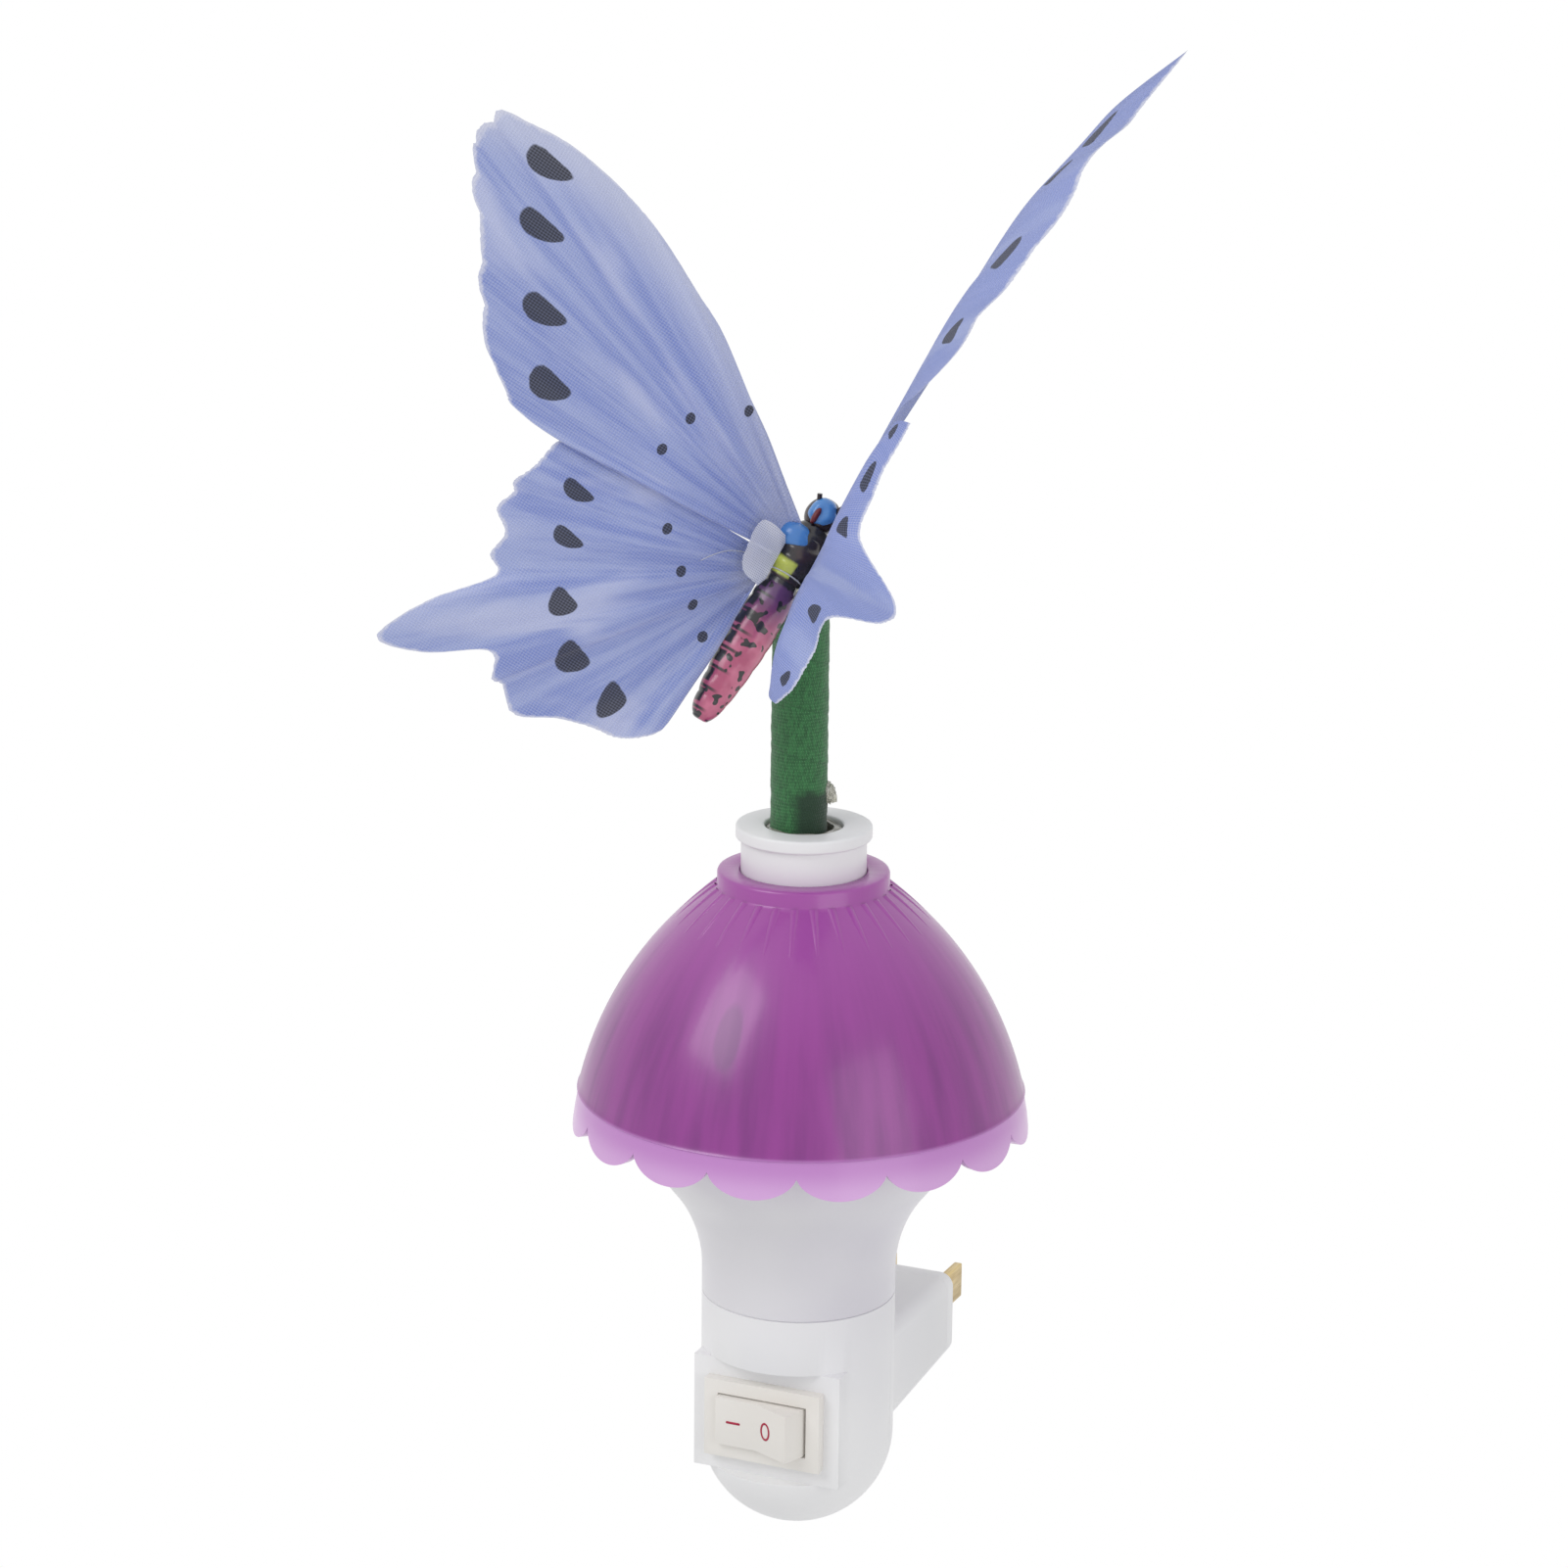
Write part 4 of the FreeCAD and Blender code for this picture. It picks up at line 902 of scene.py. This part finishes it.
nylon = moulded("tie_nylon", paint(236, 236, 238), paint(220, 222, 228), 0.2, 300,
                {"Transmission Weight": 0.3, "IOR": 1.5})
tieSpots = [onBody(-4.4 + 0.5 * math.sin(angle), 3.15 * math.cos(angle), 3.15 * math.sin(angle))
            for angle in turns(14)]
tiePiece = strand("tie_look", tieSpots, 0.13, nylon, closed=True)
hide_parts("tie_thread")
for name, spots in (
        ("tie_tail", ((-4.4, 2.9, 1.6), (-4.0, 5.2, 2.4), (-4.6, 8.2, 4.6), (-6.6, 11.0, 6.8),
                      (-9.4, 12.6, 8.2))),
        ("tie_end", ((-4.2, 2.9, 1.8), (-3.4, 4.6, 3.0), (-2.9, 6.6, 4.4)))):
    strand(name, [onBody(*spot) for spot in spots], 0.09, nylon)
print("stage: body done")

# Wings

wingLook = {
    "tilt": 30.0,
    "blue": paint(156, 170, 221), "deep": paint(119, 138, 207), "pale": paint(194, 201, 235),
    "full": paint(126, 143, 210), "band": paint(212, 216, 236), "edge": paint(222, 224, 240),
    "spot": paint(38, 38, 43),
    "weave": 0.0042,          # thread pitch on the flat map, in tenths of a metre
    "foreEdge": [(4.5, 3.2), (8, 8.5), (13, 16), (17, 23), (23, 32.5), (26, 40), (29.5, 49), (31.5, 55.5),
                 (33, 63.5), (33.5, 73), (32, 82), (29.5, 83.5), (26, 84.5), (23, 82.5), (19, 80), (15, 76),
                 (9.5, 72.5), (5.5, 69), (0, 64.5), (-3.5, 59), (-5, 56), (-5.5, 46), (-3.5, 20), (-2, 4)],
    "hindEdge": [(-2.5, 4), (-3, 20), (-3, 43), (-5.5, 46), (-9, 47), (-11.5, 48), (-14.5, 49.5), (-16, 48.5),
                 (-19.5, 49.5), (-22, 46), (-26, 46), (-28.5, 43.5), (-37.5, 51.5), (-46, 55.5),
                 (-44.5, 47.5), (-39, 38), (-42.5, 35), (-42.5, 32.5), (-45.5, 28), (-42.5, 21), (-41, 15),
                 (-40.5, 11), (-39, 8), (-35.5, 4.5), (-29.5, 4.0), (-20, 4.2), (-10, 4.2)],
    "foreSpots": [(29, 72, 1.7, 4.2), (20.5, 68, 1.7, 4.2), (10, 60.5, 1.8, 4.0), (1, 53, 2.1, 3.8),
                  (8.5, 29.5, 0.95), (2, 31, 0.95), (14.5, 21.5, 0.95)],
    "hindSpots": [(-10.5, 39, 1.3, 3.0), (-17.5, 36.5, 1.3, 2.9), (-26.5, 31.5, 2.0, 2.5),
                  (-33, 24.5, 2.3, 3.2), (-35.5, 14.5, 2.8, 2.3),
                  (-2, 26, 0.95), (-8, 22.5, 0.95), (-12.5, 16.5, 0.95), (-16, 11.5, 0.95), (-19.5, 7, 0.95)],
}


def cloth(name, spots, bandSide, tones=("deep", "blue", "pale")):
    # printed cloth: fan streaks, pale patches, a woven face, frayed pale edges and dark spots
    finish = Finish(name, wingLook["blue"], 0.82, {"Sheen Weight": 0.3, "Sheen Roughness": 0.4})
    across, out = finish.split(finish.flat())[:2]
    fan = finish.attribute("fan")
    reach = finish.attribute("reach")
    rays = finish.cloud(1.0, finish.join(fan * 26, reach * 1.6, bandSide), detail=4, roughness=0.6)
    wash = finish.cloud(1.0, finish.join(fan * 7, reach * 2.4, bandSide + 4.0), detail=2)
    tone = finish.blend(rays.ramp(0.36, 0.62), wingLook[tones[0]], wingLook[tones[1]])
    tone = finish.blend(wash.ramp(0.5, 0.72) * 0.75, tone, wingLook[tones[2]])
    threadsA = finish.stripes(across, wingLook["weave"])
    threadsB = finish.stripes(out, wingLook["weave"] * 1.25)
    weave = threadsA * 0.6 + threadsB * 0.4
    tone = finish.blend(weave * 0.4, tone, wingLook["band"])
    if bandSide:
        fromTip = out * -1 + 0.73
        leading = fromTip * fromTip * -0.62 + 0.338 - across + rays * 0.03
        tone = finish.blend(leading.ramp(0.03, 0.11) * -0.7 + 0.7, tone, wingLook["band"])
    tone = finish.blend(reach.ramp(0.02, 0.16) * -0.75 + 0.75, tone, wingLook["band"])
    fuzz = finish.cloud(900, detail=1)
    tone = finish.blend((reach + fuzz * 0.02).ramp(0.992, 1.006) * 0.8, tone, wingLook["edge"])
    mask = None
    for spot in spots:
        wide = spot[2] / 100
        high = (spot[3] if len(spot) > 3 else spot[2] * 0.9) / 100
        offA = across - spot[0] / 100
        offB = out - spot[1] / 100
        along = offB / high
        beside = offA / wide
        if wide > 0.012:
            beside = (beside - along * along * 0.35 + 0.2) * (along * -0.35 + 1)
        far = beside * beside + along * along
        mask = far if mask is None else mask.calc("MINIMUM", far)
    ink = (mask + fuzz * 0.22).ramp(1.0, 1.22) * -1 + 1
    tone = finish.blend(ink * (weave * -0.25 + 1.0), tone, wingLook["spot"])
    finish.tint(tone)
    return finish.relief(weave * 0.5 + rays * 0.5, 0.00025, 0.6)


def wingSheet(name, place, finish, node, samples=300, rows=72, seed=0.0):
    # a fan of ribs from the root to the margin; place turns a part of the fan and a reach along its rib
    # into a point and a spot on the flat map
    points = []
    flats = []
    fans = []
    reaches = []
    for sample in range(samples + 1):
        part = sample / samples
        coarse = noise.noise(Vector((part * 160 + seed, 0, 0)))
        fray = 0.22 * coarse + 0.12 * noise.noise(Vector((part * 420, seed, 0)))
        for row in range(rows + 1):
            reach = row / rows
            spot, flat = place(part, reach, fray * reach ** 8)
            points.append(spot)
            flats.append((flat[0] / 100, flat[1] / 100))
            fans.append(part)
            reaches.append(reach)
    piece = layOut(points, gridFaces(samples + 1, rows + 1), name, finish, flatMap=flats,
                   values={"fan": fans, "reach": reaches})
    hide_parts(node)


tilt = math.radians(wingLook["tilt"])


def onLeftWing(flat, height):
    # a point over a spot on the left wings' flat map, tilted forward about the body
    return onBody(flat.x, flat.y * math.cos(tilt) - height * math.sin(tilt),
                  flat.y * math.sin(tilt) + height * math.cos(tilt))


def leftPlace(edge, rootHigh, rootLow, lift, seed, scallops=0.0):
    def place(part, reach, fray):
        rim = through(edge, part)
        root = Vector(rootHigh) * (1 - part) + Vector(rootLow) * part
        rib = rim - root
        lobe = scallops * abs(math.sin((part - 0.42) * math.pi * 19)) ** 0.7 if 0.42 < part < 0.79 else 0.0
        flat = root + rib * reach + rib.normalized() * (fray + (lobe - scallops / 2) * reach ** 10)
        fold = math.sin(part * 21 + seed) * 0.8 + 0.5 * math.sin(part * 47 + seed * 2)
        wave = noise.noise(Vector((part * 5, reach * 2.2, seed)))
        height = lift + reach * (1 - 0.35 * reach) * (fold * 0.75 + 1.5 * wave) + 3.0 * reach * (1 - reach)
        return onLeftWing(flat, height), flat
    return place


leftFore = cloth("wing_cloth_fore", wingLook["foreSpots"], 1.0)
leftHind = cloth("wing_cloth_hind", wingLook["hindSpots"], 0.0)
wingSheet("left_forewing_look", leftPlace(wingLook["foreEdge"], (3.4, 2.6), (-1.6, 2.6), 0.0, 1.0, 1.0),
          leftFore, "left_forewing", seed=3.0)
wingSheet("left_hindwing_look", leftPlace(wingLook["hindEdge"], (-2.6, 2.6), (-8.0, 3.6), -1.0, 2.4),
          leftHind, "left_hindwing", samples=340, seed=9.0)

rightLook = {
    "foreRoots": ((5, -2.6, 1.0), (1, -2.6, 1.0)),
    "foreRidge": [(83.5, -5, 14), (71.5, -2.5, 20), (60.5, -1.5, 26), (47.5, -1, 32), (35.5, -1.5, 36),
                  (25.5, -2, 36)],
    "foreMargin": [(97.5, -11, 18), (89, -9.5, 19), (82, -9, 22), (74.5, -7, 26), (66.5, -7, 30),
                   (58.5, -7, 34), (49, -6.5, 38), (42.5, -5.5, 40), (36.5, -5, 42), (27, -3, 42)],
    "hindRoots": ((0, -2.8, 0.5), (-6.5, -2.8, 0.5)),
    "hindRidge": [(24, -2, 34), (20, -2, 34), (10, -2.5, 33), (3.5, -3, 32), (-0.5, -3.5, 31.5),
                  (-2.5, -3.5, 30.5), (-5, -3.5, 29.5), (-12.5, -4.5, 26), (-18.5, -5.5, 24), (-23, -7.5, 22)],
    "hindMargin": [(24, -4.5, 38), (17.5, -5, 37), (11.5, -5.5, 36), (5, -7.5, 36), (-1, -17, 46),
                   (-4.5, -17, 44), (-7.5, -9.5, 34), (-13, -10, 30), (-19.5, -10, 27), (-23, -9, 23)],
    "foreSize": (84, 66),    # margin and rib length on the flat map
    "hindSize": (66, 42),
    "foreSpots": [(12, 59, 4.6, 1.3), (24, 58, 3.6, 1.2), (46, 59, 3.6, 1.6), (66, 60, 3.4, 1.7)],
    "hindSpots": [(3.5, 38.5, 1.8, 0.9), (12, 39, 2.2, 1.1), (20.5, 38.0, 1.8, 1.3), (46, 38.5, 1.6, 1.5),
                  (58.5, 39, 1.6, 1.0)],
}


def rightPlace(wing, scallops, seed):
    # ribs that go from the root to a ridge and fold over it to the margin
    roots, ridge, margin, size = [rightLook[wing + word] for word in ("Roots", "Ridge", "Margin", "Size")]

    def place(part, reach, fray):
        root = Vector(roots[0]) * (1 - part) + Vector(roots[1]) * part
        crest = through(ridge, part)
        rim = through(margin, part)
        first = (crest - root).length
        share = first / (first + (rim - crest).length)
        past = reach - share
        folded = (past + math.sqrt(past ** 2 + 0.05 ** 2)) / 2
        spot = crest + (crest - root) / share * (past - folded) + (rim - crest) / (1 - share) * folded
        lobe = scallops * abs(math.sin(part * math.pi * 5 + seed)) * reach ** 6
        spot = spot + (rim - crest).normalized() * (fray + lobe)
        ripple = noise.noise(Vector((part * 6, reach * 2, seed))) * 0.8 * reach
        spot = spot + Vector((0, ripple, 0))
        return onBody(*spot), (part * size[0], reach * size[1])
    return place


rightFore = cloth("wing_cloth_right_fore", rightLook["foreSpots"], 0.0, ("deep", "full", "blue"))
rightHind = cloth("wing_cloth_right_hind", rightLook["hindSpots"], 0.0, ("deep", "full", "blue"))
wingSheet("right_forewing_look", rightPlace("fore", 0.8, 0.4), rightFore, "right_forewing",
          seed=14.0)
wingSheet("right_hindwing_look", rightPlace("hind", 0.4, 1.1), rightHind, "right_hindwing",
          samples=340, seed=21.0)

# Gauze at the left wing's root

gauzeLook = {"white": paint(248, 248, 250), "grey": paint(228, 230, 238),
             "edge": [(-8, 4.6), (-7, 8.4), (-2.8, 10.2), (1.4, 9.6), (1.2, 5.0)]}
gauzeNet = Finish("root_gauze", gauzeLook["white"], 0.7, {"Sheen Weight": 0.3})
netA, netB = gauzeNet.split(gauzeNet.flat())[:2]
netting = gauzeNet.stripes(netA, 0.0034).calc("MAXIMUM", gauzeNet.stripes(netB, 0.0034))
gauzeNet.tint(gauzeNet.blend(netting, gauzeLook["grey"], gauzeLook["white"]))
gauzeNet.relief(netting, 0.00004, 0.4)
feed(gauzeNet.tree, netting.ramp(0.25, 0.7) * 0.3 + 0.7, gauzeNet.shader.inputs["Alpha"])


def gauzePlace(part, reach, fray):
    root = Vector((-6.4, 3.6)) * (1 - part) + Vector((0.2, 3.9)) * part
    rib = through(gauzeLook["edge"], part) - root
    flat = root + rib * reach + rib.normalized() * fray
    return onLeftWing(flat, 1.2 + 0.25 * math.sin(part * 16) * reach + 0.8 * reach), flat


wingSheet("wing_gauze_look", gauzePlace, gauzeNet, "wing_gauze", samples=90, rows=40, seed=30.0)
print("stage: wings done")

# Floor, backdrop light and lamps


def whiteTo(tree, plain, white, end):
    # white to the camera and in mirrors and glass, the plain shader to everything else
    seen = nodeIn(tree, "ShaderNodeLightPath").outputs
    either = nodeIn(tree, "ShaderNodeMath", {0: seen["Is Camera Ray"], 1: seen["Is Glossy Ray"]},
                    operation="MAXIMUM").outputs[0]
    unseen = nodeIn(tree, "ShaderNodeMath", {0: either, 1: seen["Is Transmission Ray"]},
                    operation="MAXIMUM").outputs[0]
    mix = nodeIn(tree, "ShaderNodeMixShader", {0: unseen, 1: plain.outputs[0], 2: white.outputs[0]})
    out = [node for node in tree.nodes if node.type == end][0]
    tree.links.new(mix.outputs[0], out.inputs[0])


studioLook = {"floorLevel": -160.0, "floorHalf": 3000.0, "white": (1, 1, 1, 1), "ambient": 0.62,
              "key": 5.2, "fill": 2.4}
floorWhite = Finish("floor_white", (0.8, 0.8, 0.8, 1), 0.9)
floorGlow = nodeIn(floorWhite.tree, "ShaderNodeEmission", {"Color": studioLook["white"]})
whiteTo(floorWhite.tree, floorWhite.shader, floorGlow, "OUTPUT_MATERIAL")
floorCorners = [(x * studioLook["floorHalf"], y * studioLook["floorHalf"], studioLook["floorLevel"])
                for x, y in ((-1, -1), (1, -1), (1, 1), (-1, 1))]
floor = layOut(floorCorners, [(0, 1, 2, 3)], "floor", floorWhite, None)

world = bpy.data.worlds.new("studio")
bpy.context.scene.world = world
world.use_nodes = True
soft = [node for node in world.node_tree.nodes if node.type == "BACKGROUND"][0]
soft.inputs["Color"].default_value = studioLook["white"]
soft.inputs["Strength"].default_value = studioLook["ambient"]
pure = nodeIn(world.node_tree, "ShaderNodeBackground", {"Color": studioLook["white"], "Strength": 1.0})
whiteTo(world.node_tree, soft, pure, "OUTPUT_WORLD")


def lamp(name, spot, power, size):
    light = bpy.data.lights.new(name, "AREA")
    light.energy = power
    light.size = size
    holder = linked(name, light)
    away = Vector(spot) - Vector((0, axisY * mm, 0.09))
    holder.matrix_world = Matrix.Translation(spot) @ away.to_track_quat("Z", "Y").to_matrix().to_4x4()


lamp("key", (-0.55, -0.85, 0.95), studioLook["key"], 0.7)
lamp("fill", (0.95, -0.55, 0.35), studioLook["fill"], 0.8)
bpy.context.scene.view_settings.view_transform = "Standard"
print("stage: light done")
